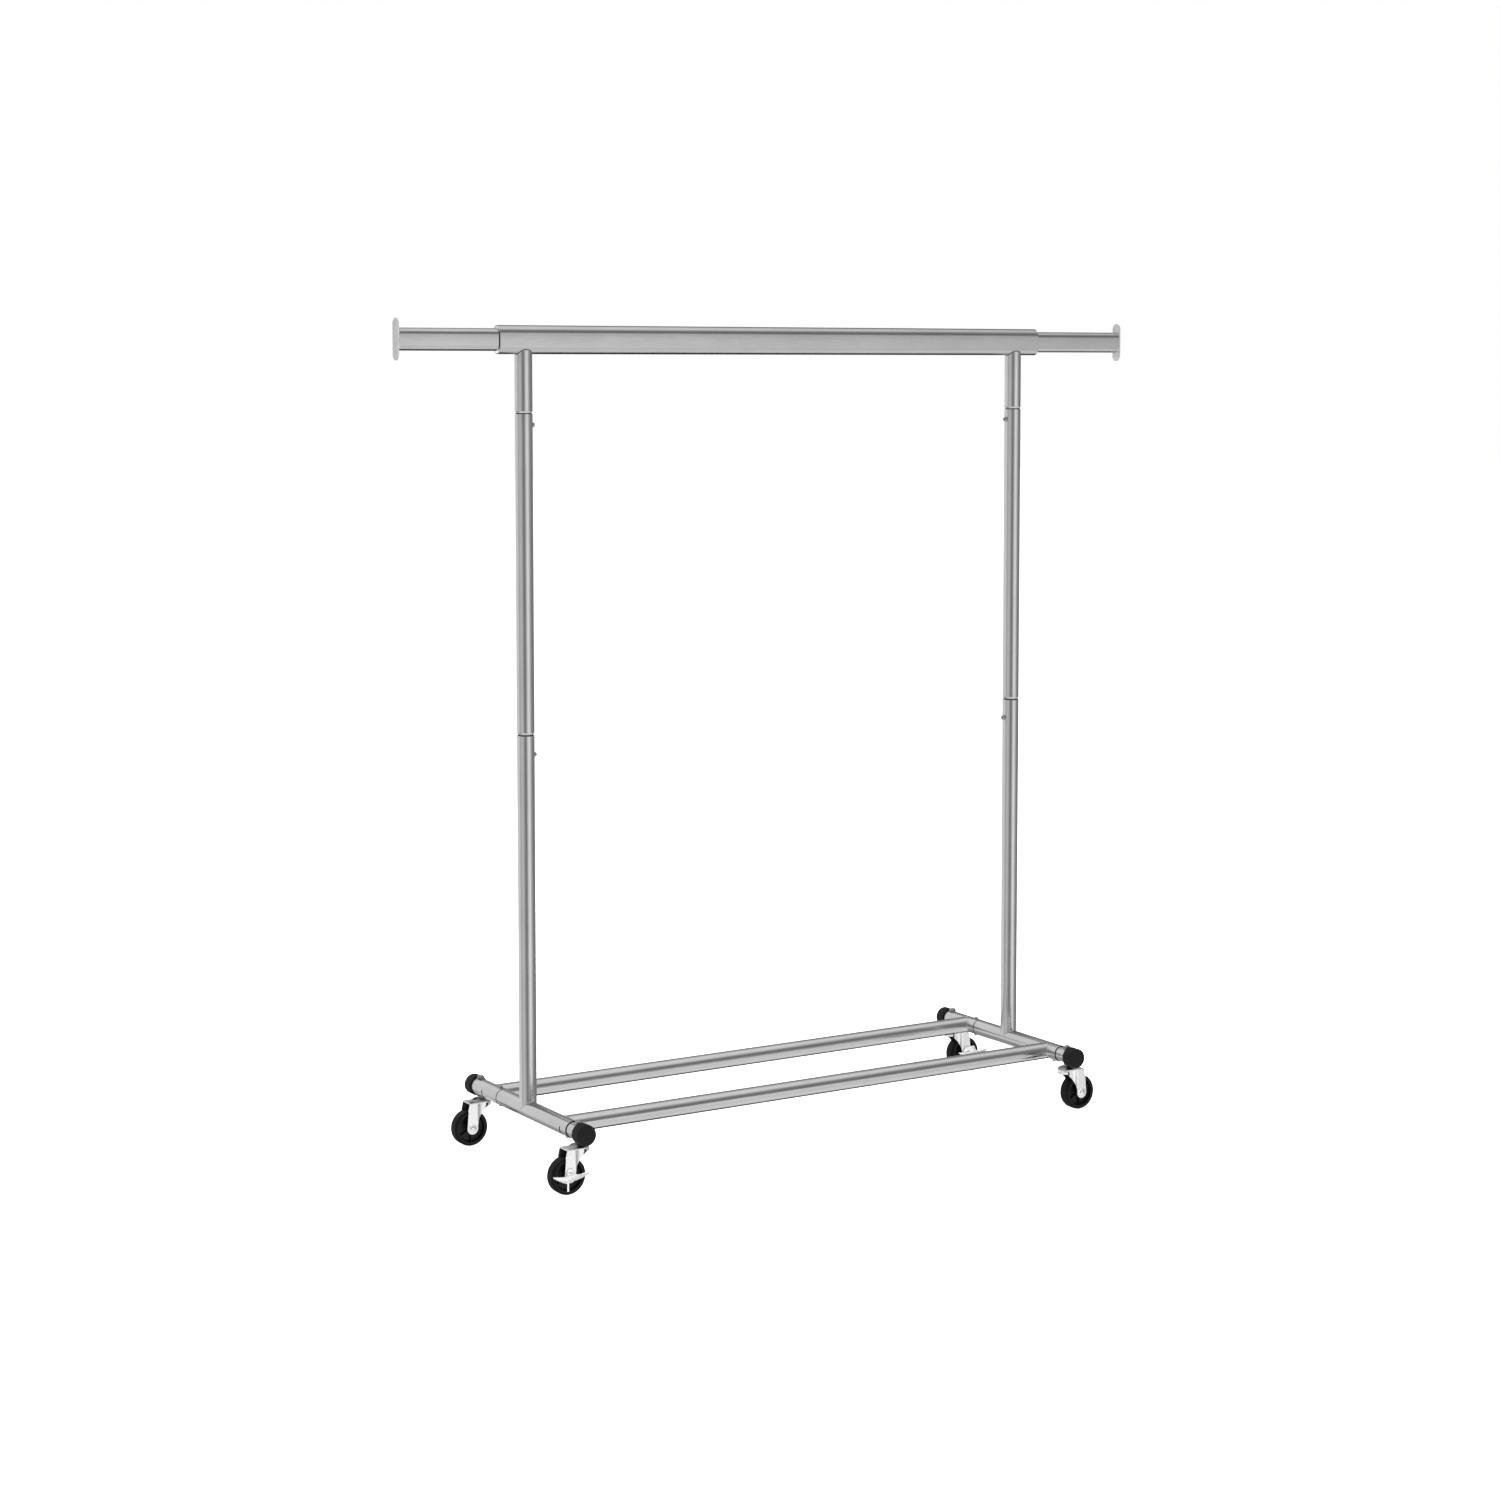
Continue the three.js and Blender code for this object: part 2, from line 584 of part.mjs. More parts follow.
// The wings' outline, drawn level with the top of their neck on Y = 0 and their lower edge towards -Y.
function wingShape() {
  const [lowX, lowY] = PEDAL_LOW;
  const [leftX, leftY] = PEDAL_LEFT_TIP;
  const [rightX, rightY] = PEDAL_RIGHT_TIP;
  const dip = 2 * PEDAL_NECK;
  const shape = new THREE.Shape();
  shape.moveTo(PEDAL_NECK, 0);
  shape.lineTo(-PEDAL_NECK, 0);
  shape.quadraticCurveTo(-PEDAL_NECK, -PEDAL_HOLLOW, -dip, -PEDAL_HOLLOW);
  shape.lineTo(leftX, -leftY);
  shape.quadraticCurveTo((leftX + lowX) / 2, -lowY, lowX, -lowY);
  shape.quadraticCurveTo((rightX + lowX) / 2, (-rightY - lowY) / 2, rightX, -rightY);
  shape.lineTo(rightX - PEDAL_NECK, -leftY);
  shape.lineTo(dip, -PEDAL_HOLLOW);
  shape.quadraticCurveTo(PEDAL_NECK, -PEDAL_HOLLOW, PEDAL_NECK, 0);
  return shape;
}

// The pedal is drawn about the axle, in front of the fork; shift moves its wings along X.
function brakePedal(shift) {
  const plateBack = -FORK_WIDTH / 2 - GAP;
  const plateFront = plateBack - PEDAL_SHEET;
  const wingsBack = plateFront + PEDAL_SHEET / 4;
  const slope = THREE.MathUtils.degToRad(PEDAL_SLOPE);
  const [lowX, lowY] = PEDAL_LOW;
  const tongueX = shift + lowX;
  const tongueFront = wingsBack - lowY * Math.cos(slope);
  const tongueTop = PEDAL_TOP - lowY * Math.sin(slope) + PEDAL_SHEET / 2;
  const headFront = plateFront - PEDAL_AXLE_HEAD - 2 * GAP;
  const wings = levelSheet(wingShape(), -PEDAL_SHEET, 0).rotate([PEDAL_SLOPE, 0, 0]);
  const headRoom = rod(AXLE_HEAD_RADIUS + 2 * GAP, headFront, plateFront, "y", SMALL_SEGMENTS);
  const plateEnd = shift + PEDAL_NECK;
  const plate = block([-PEDAL_NECK, plateFront, 0], [plateEnd, plateBack, PEDAL_TOP]);
  const tongue = block(
    [tongueX - TONGUE_WIDTH / 2, tongueFront, tongueTop - TONGUE_LENGTH],
    [tongueX + TONGUE_WIDTH / 2, tongueFront + PEDAL_SHEET, tongueTop],
  );
  return wings
    .translate([shift, wingsBack, PEDAL_TOP])
    .subtract(headRoom)
    .add(plate)
    .add(rod(PEDAL_PLATE_RADIUS, plateFront, plateBack, "y"))
    .add(tongue)
    .subtract(rod(AXLE_RADIUS + GAP, plateFront - 1, plateBack + 1, "y", SMALL_SEGMENTS));
}

// A domed washer above the fork; its foot lies just above the top plate.
function swivelRace() {
  const bottom = FORK_TOP_Z + GAP;
  const bore = STEM_RADIUS + GAP;
  const dome = [[1, 0.2], [0.87, 0.6], [0.6, 0.92]].map(([r, h]) => [r * RACE_RADIUS, bottom + h * RACE_HEIGHT]);
  const top = [bore, bottom + RACE_HEIGHT];
  return revolved([[bore, bottom], [RACE_RADIUS, bottom], ...dome, top, [bore, bottom]], "z");
}

// The stem hangs from its nut on top of the tube and holds the fork on its lower flange.
function stem(tubeRadius) {
  const flangeTop = FORK_TOP_Z - FORK_TOP_SHEET - GAP;
  const collarBottom = FORK_TOP_Z + RACE_HEIGHT + 2 * GAP;
  const collarTop = BASE_Z - tubeRadius - GAP;
  const threadTop = BASE_Z + tubeRadius + NUT_HEIGHT;
  return revolved(
    [
      [0, flangeTop - STEM_FLANGE],
      [STEM_FLANGE_RADIUS, flangeTop - STEM_FLANGE],
      [STEM_FLANGE_RADIUS, flangeTop],
      [STEM_RADIUS, flangeTop],
      [STEM_RADIUS, collarBottom],
      [STEM_COLLAR_RADIUS, collarBottom],
      [STEM_COLLAR_RADIUS, collarTop],
      [STEM_THREAD_RADIUS, collarTop],
      [STEM_THREAD_RADIUS, threadTop],
      [0, threadTop],
    ],
    "z",
    SMALL_SEGMENTS,
  );
}

// A closed nut that stands on the tube, over the end of the stem.
function domeNut(tubeRadius) {
  const bottom = BASE_Z + tubeRadius + GAP;
  const corner = bottom + NUT_HEIGHT;
  const radius = NUT_RADIUS * 0.8;
  const dome = revolved(
    [
      [0, bottom + 1],
      [radius, bottom + 1],
      [radius, corner + GAP],
      [radius * 0.75, corner + NUT_DOME * 0.75],
      [0, corner + NUT_DOME],
    ],
    "z",
    SMALL_SEGMENTS,
  );
  return rod(NUT_RADIUS, bottom, corner, "z", 6)
    .add(dome)
    .subtract(rod(STEM_THREAD_RADIUS + GAP, bottom - 1, corner, "z", SMALL_SEGMENTS));
}

// A brake is the shift of its pedal's wings along X; casters without a brake have none.
function caster(name, side, tubeRadius, brake) {
  const hasBrake = brake !== undefined;
  const group = new THREE.Group();
  group.add(piece(`${name}_stem`, stem(tubeRadius), zincSteel));
  group.add(piece(`${name}_stem_nut`, domeNut(tubeRadius), zincSteel));
  group.add(piece(`${name}_swivel_race`, swivelRace(), brightSteel));
  group.add(piece(`${name}_fork`, fork(side), brightSteel));

  const running = new THREE.Group();
  running.position.set(side * TRAIL, 0, WHEEL_RADIUS);
  running.add(piece(`${name}_wheel`, wheel(), blackPlastic));
  running.add(piece(`${name}_axle`, axle(hasBrake), zincSteel));
  if (hasBrake) running.add(piece(`${name}_brake_pedal`, brakePedal(brake), brightSteel));
  group.add(running);
  return group;
}

function casters() {
  const group = new THREE.Group();
  const places = [
    ["front_left", -1, -1, SPIGOT_RADIUS, 0],
    ["front_right", 1, -1, SPIGOT_RADIUS],
    ["rear_left", -1, 1, TUBE_RADIUS],
    ["rear_right", 1, 1, TUBE_RADIUS, REAR_PEDAL_SHIFT],
  ];
  for (const [name, side, row, tubeRadius, brake] of places) {
    const one = caster(name, side, tubeRadius, brake);
    one.position.set(side * SIDE_X, row * CASTER_Y, 0);
    group.add(one);
  }
  return group;
}

const rack = new THREE.Group();
rack.add(base(), uprights(), hangingBar(), casters());

export default rack;
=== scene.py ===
"""Looks of the rolling clothes rack: satin chromed tubes, zinc casters, black wheels and end caps.

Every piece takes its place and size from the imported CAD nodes, in metres. +X runs along the hanging bar
to the right, +Y to the back and +Z up.
"""

import math

import bmesh
import bpy
from mathutils import Euler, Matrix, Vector


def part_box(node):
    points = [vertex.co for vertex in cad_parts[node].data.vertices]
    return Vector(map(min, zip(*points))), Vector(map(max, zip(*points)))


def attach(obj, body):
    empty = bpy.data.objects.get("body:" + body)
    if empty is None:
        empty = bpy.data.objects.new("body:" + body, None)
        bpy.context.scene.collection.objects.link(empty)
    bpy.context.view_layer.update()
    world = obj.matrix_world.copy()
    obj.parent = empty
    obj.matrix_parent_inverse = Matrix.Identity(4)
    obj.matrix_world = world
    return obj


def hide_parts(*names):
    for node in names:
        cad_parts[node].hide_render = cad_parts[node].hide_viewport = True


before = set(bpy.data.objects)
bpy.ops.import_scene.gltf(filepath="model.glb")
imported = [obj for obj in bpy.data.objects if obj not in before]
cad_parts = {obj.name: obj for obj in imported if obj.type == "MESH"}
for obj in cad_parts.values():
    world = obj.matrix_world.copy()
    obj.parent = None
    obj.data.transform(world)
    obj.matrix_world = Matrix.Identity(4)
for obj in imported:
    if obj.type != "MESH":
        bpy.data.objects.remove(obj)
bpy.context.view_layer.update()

MM = 0.001
ROUND = 72  # segments around tubes and wheels
FINE = 36  # segments around bolts, nuts and stems
HANDS = (("left", -1), ("right", 1))

# ---- Sizes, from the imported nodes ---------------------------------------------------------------


def low(node):
    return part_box(node)[0]


def high(node):
    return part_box(node)[1]


def middle(node):
    return (low(node) + high(node)) / 2


def size(node):
    return high(node) - low(node)


TUBE_R = size("left_side_tube").x / 2
TUBE_WALL = 1.4 * MM
BORE_R = TUBE_R - TUBE_WALL
SPIGOT_R = size("left_front_stub").x / 2
BASE_Z = middle("left_side_tube").z
LOWER_JOINT_Z = high("left_lower_upright").z
UPPER_JOINT_Z = high("left_upper_upright").z
SHOULDER = 4.0 * MM  # length of the curved shoulder above a swaged end
JOINT_GAP = 1.4 * MM  # gap left where one tube enters the next; the tube inside it gets painted shade, so it shows as a dark line
TUBE_END_GAP = 0.5 * MM  # an upright's tube ends this far below its joint
SLOT_WIDTH = 3.6 * MM
SLOT_TOP = 4.0 * MM  # the slots run from here, above the tube's axis, down to its lowest line
SLOT_REACH = 4 * MM  # the slotted tubes have rings this far before and behind a slot
TUBE_RIM = 0.6 * MM  # rounding of the rims of the side tubes, sleeves and lower uprights
FINE_RIM = 0.4 * MM
WELD_R = 1.1 * MM
WELD_STEPS = 180
WELD_SQUEEZE = 0.985  # a bead sits this much closer where two tubes of one size run into each other
FRONT_SLOT_Y = middle("left_stop_bolt").y
REAR_SLOT_Y = 164.0 * MM
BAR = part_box("hanging_bar")
BAR_Z = middle("hanging_bar").z
BAR_DEPTH = size("hanging_bar").y
BAR_HEIGHT = size("hanging_bar").z
OVAL_WALL = 1.5 * MM

# ---- Mesh building ------------------------------------------------------------------------------


def skin(rings, closed=False):
    """Vertices and faces of a surface through rings of equally many points; closed joins last to first."""
    count, points = len(rings), len(rings[0])
    vertices = [p for ring in rings for p in ring]
    faces = []
    for i in range(count if closed else count - 1):
        j = (i + 1) % count
        for k in range(points):
            m = (k + 1) % points
            faces.append((i * points + k, i * points + m, j * points + m, j * points + k))
    if not closed:
        faces.append(tuple(reversed(range(points))))
        faces.append(tuple(range((count - 1) * points, count * points)))
    return vertices, faces


def joined(*parts):
    """Several (vertices, faces) as one."""
    vertices, faces = [], []
    for more_vertices, more_faces in parts:
        start = len(vertices)
        vertices += more_vertices
        faces += [tuple(start + i for i in face) for face in more_faces]
    return vertices, faces


def build(name, mesh_data, material, sharp=35):
    """A smooth-shaded object whose edges are sharp where the surface turns by more than an angle."""
    mesh = bpy.data.meshes.new(name)
    mesh.from_pydata([tuple(v) for v in mesh_data[0]], [], mesh_data[1])
    work = bmesh.new()
    work.from_mesh(mesh)
    bmesh.ops.recalc_face_normals(work, faces=work.faces)
    work.to_mesh(mesh)
    work.free()
    mesh.polygons.foreach_set("use_smooth", [True] * len(mesh.polygons))
    mesh.set_sharp_from_angle(angle=math.radians(sharp))
    mesh.materials.append(material)
    piece = bpy.data.objects.new(name, mesh)
    bpy.context.scene.collection.objects.link(piece)
    return piece


AXES = {
    "x": (Vector((0, 1, 0)), Vector((0, 0, 1)), Vector((1, 0, 0))),
    "y": (Vector((1, 0, 0)), Vector((0, 0, 1)), Vector((0, 1, 0))),
    "z": (Vector((1, 0, 0)), Vector((0, 1, 0)), Vector((0, 0, 1))),
}


def held(profile, near=1.2 * MM):
    """Adds a point close to each end of every long straight run, so that rounded ends don't bend the
    shading of the whole run."""
    result = [profile[0]]
    for (a, x), (b, y) in zip(profile, profile[1:]):
        if not any(callable(value) for value in (a, x, b, y)):
            length = math.hypot(b - a, y - x)
            if length > 6 * MM:
                share = near / length
                result.append((a + (b - a) * share, x + (y - x) * share))
                result.append((b - (b - a) * share, y - (y - x) * share))
        result.append((b, y))
    return result


def turned(profile, axis, centre, segments=ROUND, closed=False):
    """A surface of revolution. A profile point is (radius, place along the axis); either may be a
    function, the radius of the angle and the place of the two distances across."""
    across, up, along = AXES[axis]
    rings = []
    for radius, place in held([*profile, profile[0]])[:-1] if closed else held(profile):
        ring = []
        for k in range(segments):
            angle = 2 * math.pi * k / segments
            r = radius(angle) if callable(radius) else radius
            u, v = r * math.cos(angle), r * math.sin(angle)
            w = place(u, v) if callable(place) else place
            ring.append(centre + across * u + up * v + along * w)
        rings.append(ring)
    return skin(rings, closed)


def rim_points(radius, end, rim, inward=1):
    """Three points that round the rim of a tube, from its end inwards; inward is -1 at a far end."""
    curve = ((rim, 0), (0.3 * rim, 0.3 * rim), (0, rim))
    return [(radius - inset, end + inward * reach) for inset, reach in curve]


def swaged_profile(joint, top, spigot):
    """A tube whose lower end curves in at a joint and goes on as a spigot, as a closed profile."""
    inner = SPIGOT_R - TUBE_WALL
    curve = []
    for i in range(9):
        turn = math.pi * i / 8
        share = (1 - math.cos(turn)) / 2
        curve.append((TUBE_R - share * (TUBE_R - SPIGOT_R), joint + JOINT_GAP + SHOULDER * (1 - i / 8)))
    return [
        *curve,
        (SPIGOT_R, joint - spigot),
        (inner, joint - spigot),
        (inner, joint + SHOULDER / 2),
        (BORE_R, joint + JOINT_GAP + SHOULDER),
        (BORE_R, top),
        (TUBE_R, top),
    ]


def circle(steps):
    """The cosine and sine at even steps around a circle."""
    angles = [2 * math.pi * k / steps for k in range(steps)]
    return [(math.cos(angle), math.sin(angle)) for angle in angles]


def arc(a, b, radius, start, sweep, steps):
    """Points along an arc about (a, b), with both its ends."""
    angles = [start + sweep * k / steps for k in range(steps + 1)]
    return [(a + radius * math.cos(angle), b + radius * math.sin(angle)) for angle in angles]


def oval(depth, height, steps=20):
    """Points (y, z) around an upright oval with straight sides."""
    radius = depth / 2
    rise = height / 2 - radius
    return arc(0, rise, radius, 0, math.pi, steps) + arc(0, -rise, radius, math.pi, math.pi, steps)


def oval_rings(sections, z, depth, height):
    """Rings of an oval along X. A section is (inset, x), and x may be a function of (y, z)."""
    rings = []
    for inset, x in sections:
        points = oval(depth - 2 * inset, height - 2 * inset)
        rings.append([Vector((x(y, w) if callable(x) else x, y, z + w)) for y, w in points])
    return rings


def oval_tube(start, end, z, depth, height, wall, rim=FINE_RIM):
    sections = [
        (rim, start),
        (0, start + rim),
        (0, end - rim),
        (rim, end),
        (wall - rim / 2, end),
        (wall, end - rim / 2),
        (wall, start + rim / 2),
        (wall - rim / 2, start),
    ]
    return skin(oval_rings(held([*sections, sections[0]])[:-1], z, depth, height), closed=True)


def bead(path, radius, ripple=0.12):
    """A weld bead along a closed path, with the small ripples that welding leaves."""
    count = len(path)
    rings = []
    for i, point in enumerate(path):
        tangent = (path[(i + 1) % count] - path[i - 1]).normalized()
        across = tangent.orthogonal().normalized()
        up = tangent.cross(across)
        r = radius * (1 + ripple * math.sin(i * 2.4))
        rings.append([point + across * r * cos + up * r * sin for cos, sin in circle(10)])
    return matched_loop(rings)


def matched_loop(rings):
    """Rings whose first points may be turned against each other, joined in order with the least twist."""
    steady = [rings[0]]
    for ring in rings[1:]:
        last = steady[-1]
        turns = range(len(ring))
        best = min(turns, key=lambda t: (ring[t] - last[0]).length)
        candidate = ring[best:] + ring[:best]
        mirrored = [candidate[0], *reversed(candidate[1:])]
        near = (candidate[1] - last[1]).length <= (mirrored[1] - last[1]).length
        steady.append(candidate if near else mirrored)
    return skin(steady, closed=True)


def plate(outline, bottom, top, rim, place):
    """A flat sheet with rounded edges. The outline is (a, b) points; place turns (a, b, height) into a
    point. The rounding draws the outline in towards its middle."""
    count = len(outline)
    inward = []
    area = sum(outline[i - 1][0] * outline[i][1] - outline[i][0] * outline[i - 1][1] for i in range(count))
    sign = 1 if area > 0 else -1
    for i in range(count):
        before, after = outline[i - 1], outline[(i + 1) % count]
        run = Vector((after[0] - before[0], after[1] - before[1]))
        normal = Vector((-run.y, run.x)) * sign
        inward.append(normal.normalized() if normal.length > 0 else Vector((0, 0)))
    rings = []
    steps = ((rim, bottom), (0.3 * rim, bottom + 0.3 * rim), (0, bottom + rim))
    for inset, height in (*steps, *[(i, bottom + top - h) for i, h in reversed(steps)]):
        ring = [(a + n.x * inset, b + n.y * inset) for (a, b), n in zip(outline, inward)]
        rings.append([place(a, b, height) for a, b in ring])
    return skin(rings)


def cut(piece, mesh_data):
    """Takes a closed shape away from a piece."""
    cutter = build("cutter", mesh_data, piece.data.materials[0])
    modifier = piece.modifiers.new("cut", "BOOLEAN")
    modifier.object = cutter
    modifier.operation = "DIFFERENCE"
    modifier.solver = "EXACT"
    depsgraph = bpy.context.evaluated_depsgraph_get()
    mesh = bpy.data.meshes.new_from_object(piece.evaluated_get(depsgraph))
    piece.modifiers.clear()
    piece.data = mesh
    mesh.polygons.foreach_set("use_smooth", [True] * len(mesh.polygons))
    mesh.set_sharp_from_angle(angle=math.radians(35))
    bpy.data.objects.remove(cutter)


# ---- Materials ----------------------------------------------------------------------------------


def set_stops(ramp, stops):
    """Gives a colour ramp its stops; a stop is (position, grey) or (position, colour)."""
    ramp.elements.remove(ramp.elements[1])
    ramp.elements[0].position = stops[0][0]
    for position, _ in stops[1:]:
        ramp.elements.new(position)
    for element, (_, colour) in zip(ramp.elements, stops):
        rgb = colour if isinstance(colour, tuple) else (colour, colour, colour)
        element.color = (*rgb, 1)


class Tree:
    """Short ways to add and join the nodes of a shader tree."""

    def __init__(self, tree):
        self.tree = tree

    def add(self, kind, **settings):
        node = self.tree.nodes.new(kind)
        for name, value in settings.items():
            setattr(node, name, value)
        return node

    def join(self, output, target):
        self.tree.links.new(output, target)

    def ramp(self, value, stops):
        node = self.add("ShaderNodeValToRGB")
        set_stops(node.color_ramp, stops)
        self.join(value, node.inputs["Fac"])
        return node.outputs["Color"]

    def span(self, value, low_end, high_end, start=0.3, end=0.7):
        """The value between start and end, as a number between two ends."""
        node = self.add("ShaderNodeMapRange")
        node.inputs["From Min"].default_value = start
        node.inputs["From Max"].default_value = end
        node.inputs["To Min"].default_value = low_end
        node.inputs["To Max"].default_value = high_end
        self.join(value, node.inputs["Value"])
        return node.outputs["Result"]


class Nodes(Tree):
    """The nodes of one new material."""

    def __init__(self, name):
        self.material = bpy.data.materials.new(name)
        self.material.use_nodes = True
        super().__init__(self.material.node_tree)
        self.shader = self.tree.nodes["Principled BSDF"]

    def set(self, name, value):
        self.shader.inputs[name].default_value = value

    def feed(self, name, output):
        self.join(output, self.shader.inputs[name])

    def place(self, scale=(1, 1, 1)):
        """Object coordinates in metres, stretched by a scale."""
        source = self.add("ShaderNodeTexCoord")
        mapping = self.add("ShaderNodeMapping")
        mapping.inputs["Scale"].default_value = scale
        self.join(source.outputs["Object"], mapping.inputs["Vector"])
        return mapping.outputs["Vector"]

    def noise(self, scale, detail=3.0, stretch=(1, 1, 1), rough=0.55):
        node = self.add("ShaderNodeTexNoise")
        node.inputs["Scale"].default_value = scale
        node.inputs["Detail"].default_value = detail
        node.inputs["Roughness"].default_value = rough
        self.join(self.place(stretch), node.inputs["Vector"])
        return node.outputs["Fac"]

    def cells(self, scale):
        """The distance to the nearest of many scattered points."""
        node = self.add("ShaderNodeTexVoronoi", feature="F1")
        node.inputs["Scale"].default_value = scale
        self.join(self.place(), node.inputs["Vector"])
        return node.outputs["Distance"]

    def bump(self, height, strength, distance, below=None):
        node = self.add("ShaderNodeBump")
        node.inputs["Strength"].default_value = strength
        node.inputs["Distance"].default_value = distance
        self.join(height, node.inputs["Height"])
        if below is not None:
            self.join(below, node.inputs["Normal"])
        return node.outputs["Normal"]


def chrome(name, along, edge=1.0, colour=0.76, roughness=0.19):
    """Satin chromed tube: fine polishing lines along the tube, faint clouding and very slight waviness.
    A dark edge dims what the tube reflects at a glancing angle."""
    n = Nodes(name)
    stretch = {"x": (0.04, 1, 1), "y": (1, 0.04, 1), "z": (1, 1, 0.04)}[along]
    clouds = n.noise(9, 3)
    lines = n.noise(900, 2, stretch)
    n.feed("Base Color", n.ramp(clouds, ((0.3, colour * 0.95), (0.7, colour * 1.03))))
    n.feed("Roughness", n.span(lines, roughness - 0.05, roughness + 0.07))
    waves = n.bump(n.noise(26, 1), 0.12, 0.0004)
    n.feed("Normal", n.bump(lines, 0.05, 0.00004, waves))
    n.set("Metallic", 1.0)
    n.set("Specular Tint", (edge, edge, edge, 1))
    return n.material


def end_plate_steel():
    """The stadium plates: pale satin steel, brushed crosswise."""
    n = Nodes("end_plate_satin_steel")
    lines = n.noise(1200, 2, (1, 0.05, 1))
    clouds = n.noise(40, 3)
    n.feed("Base Color", n.ramp(clouds, ((0.3, 0.52), (0.7, 0.58))))
    n.feed("Roughness", n.span(lines, 0.34, 0.48))
    n.feed("Normal", n.bump(lines, 0.08, 0.00005))
    n.set("Metallic", 0.75)
    return n.material


def bright_zinc(name, metallic):
    """Pressed caster forks and pedals: bright zinc plate with faint crystals and rolling lines."""
    n = Nodes(name)
    crystals = n.cells(420)
    clouds = n.noise(120, 3)
    n.feed("Base Color", n.ramp(clouds, ((0.3, 0.94), (0.7, 0.99))))
    n.feed("Roughness", n.span(crystals, 0.16, 0.24, 0.0, 0.8))
    fine = n.bump(n.noise(1500, 2, (1, 1, 0.1)), 0.02, 0.00003)
    n.feed("Normal", n.bump(clouds, 0.04, 0.0001, fine))
    n.set("Metallic", metallic)
    return n.material


def worn_zinc():
    """Bolts, nuts, stems and axles: greyer zinc with darker film in patches."""
    n = Nodes("fastener_zinc")
    film = n.noise(300, 4)
    n.feed("Base Color", n.ramp(film, ((0.32, 0.36), (0.6, 0.6), (0.75, 0.68))))
    n.feed("Roughness", n.span(film, 0.42, 0.24))
    n.feed("Normal", n.bump(n.noise(1800, 3), 0.12, 0.00005))
    n.set("Metallic", 1.0)
    return n.material


def moulded(name, colour, roughness, grain=0.25, specular=0.5, scuffs=1.35):
    """Moulded plastic or rubber: fine grain all over and a few paler scuffs."""
    n = Nodes(name)
    marks = n.noise(70, 5, (1, 1, 1), 0.7)
    pale = tuple(min(1.0, c * scuffs) for c in colour)
    n.feed("Base Color", n.ramp(marks, ((0.5, colour), (0.72, pale))))
    n.feed("Roughness", n.span(marks, roughness - 0.05, roughness + 0.08))
    n.feed("Normal", n.bump(n.cells(1600), grain, 0.00008))
    n.set("Specular IOR Level", specular)
    return n.material


CHROME = {axis: chrome(f"satin_chrome_along_{axis}", axis) for axis in "xyz"}
# The bar and the extension tubes take a darker copy of the chrome: the lower colour is painted shade
# against the bright panel their flat faces reflect.
SHADED_BAR_CHROME = chrome("satin_chrome_bar", "x", 0.6, 0.68)
PLATE_STEEL = end_plate_steel()
ZINC = bright_zinc("bright_zinc_plate", 0.92)
PEDAL_ZINC = bright_zinc("white_zinc_pedal", 0.78)
FASTENER = worn_zinc()
CAP = moulded("black_cap_plastic", (0.004, 0.004, 0.0042), 0.5, 0.3, 0.2)
BUSH = moulded("pale_bush_plastic", (0.62, 0.62, 0.62), 0.45, 0.15, 0.5, 1.1)
TREAD = moulded("black_wheel_tread", (0.002, 0.002, 0.0021), 0.45, 0.3, 0.15)
HUB = moulded("black_wheel_core", (0.002, 0.002, 0.0021), 0.32, 0.12, 0.32)
# Painted shade: a near-black steel on faces where shade falls, inside bores, slots, joints and the forks.
PAINTED_SHADE = moulded("painted_shade_dark_steel", (0.012, 0.012, 0.012), 0.6, 0.2, 0.2)


def make(node, mesh_data, material, body, sharp=35, cutter=None, inside=None, inner=PAINTED_SHADE):
    """The piece that stands for a CAD node. It rides on a body and takes the given material. A
    cutter is taken away from it, and its faces whose middle lies inside get the inner material."""
    piece = build(f"visual_{node}", mesh_data, material, sharp)
    if cutter:
        cut(piece, cutter)
    if inside:
        # By default the inner material is painted shade; the wheels give their real core material instead.
        piece.data.materials.append(inner)
        for polygon in piece.data.polygons:
            if inside(polygon.center):
                polygon.material_index = 1
    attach(piece, body)
    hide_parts(node)


# ---- Base ---------------------------------------------------------------------------------------


def slot_cutter(side, y, inner):
    """A bar with a round upper end, which opens the outer lower quarter of a side tube."""
    half = SLOT_WIDTH / 2
    below = -TUBE_R - 5 * MM
    outline = [*arc(0, SLOT_TOP - half, half, 0, math.pi, 12), (-half, below), (half, below)]
    x = middle("left_side_tube").x * -side
    ends = (side * 25 * MM, inner)
    return skin([[Vector((x + w, y + a, BASE_Z + b)) for a, b in outline] for w in ends])


def beside_slot(radius, y):
    return [(radius, y - SLOT_REACH), (radius, y + SLOT_REACH)]


def slotted_tube(node, side, profile, slot_y, slot_inner):
    centre = Vector((middle(node).x, 0, BASE_Z))
    make(
        node,
        turned(profile, "y", centre, closed=True),
        CHROME["y"],
        "frame",
        cutter=slot_cutter(side, slot_y, slot_inner),
        # every face within the outer skin (bore, ends, slot walls and swaged spigot) gets painted shade
        inside=lambda p: math.hypot(p.x - centre.x, p.z - centre.z) < TUBE_R - 0.2 * MM,
    )


def side_tube(hand, side):
    """The long bottom tube, with a rolled front edge and a swaged back end."""
    node = f"{hand}_side_tube"
    start, end = low(node).y, low(f"{hand}_rear_sleeve").y - JOINT_GAP
    spigot_end, inner = high(node).y, SPIGOT_R - TUBE_WALL
    profile = [
        *rim_points(TUBE_R, start, TUBE_RIM),
        *beside_slot(TUBE_R, FRONT_SLOT_Y),
        (TUBE_R, end - SHOULDER / 2),
        (TUBE_R - 0.35 * MM, end - 0.6 * MM),
        (SPIGOT_R, end),
        (SPIGOT_R, spigot_end),
        (inner, spigot_end),
        (inner, end - SHOULDER / 2),
        (BORE_R, end - SHOULDER),
        *reversed(beside_slot(BORE_R, FRONT_SLOT_Y)),
        (BORE_R, start + TUBE_RIM),
        (BORE_R, start),
    ]
    slotted_tube(node, side, profile, FRONT_SLOT_Y, -side * 2 * MM)


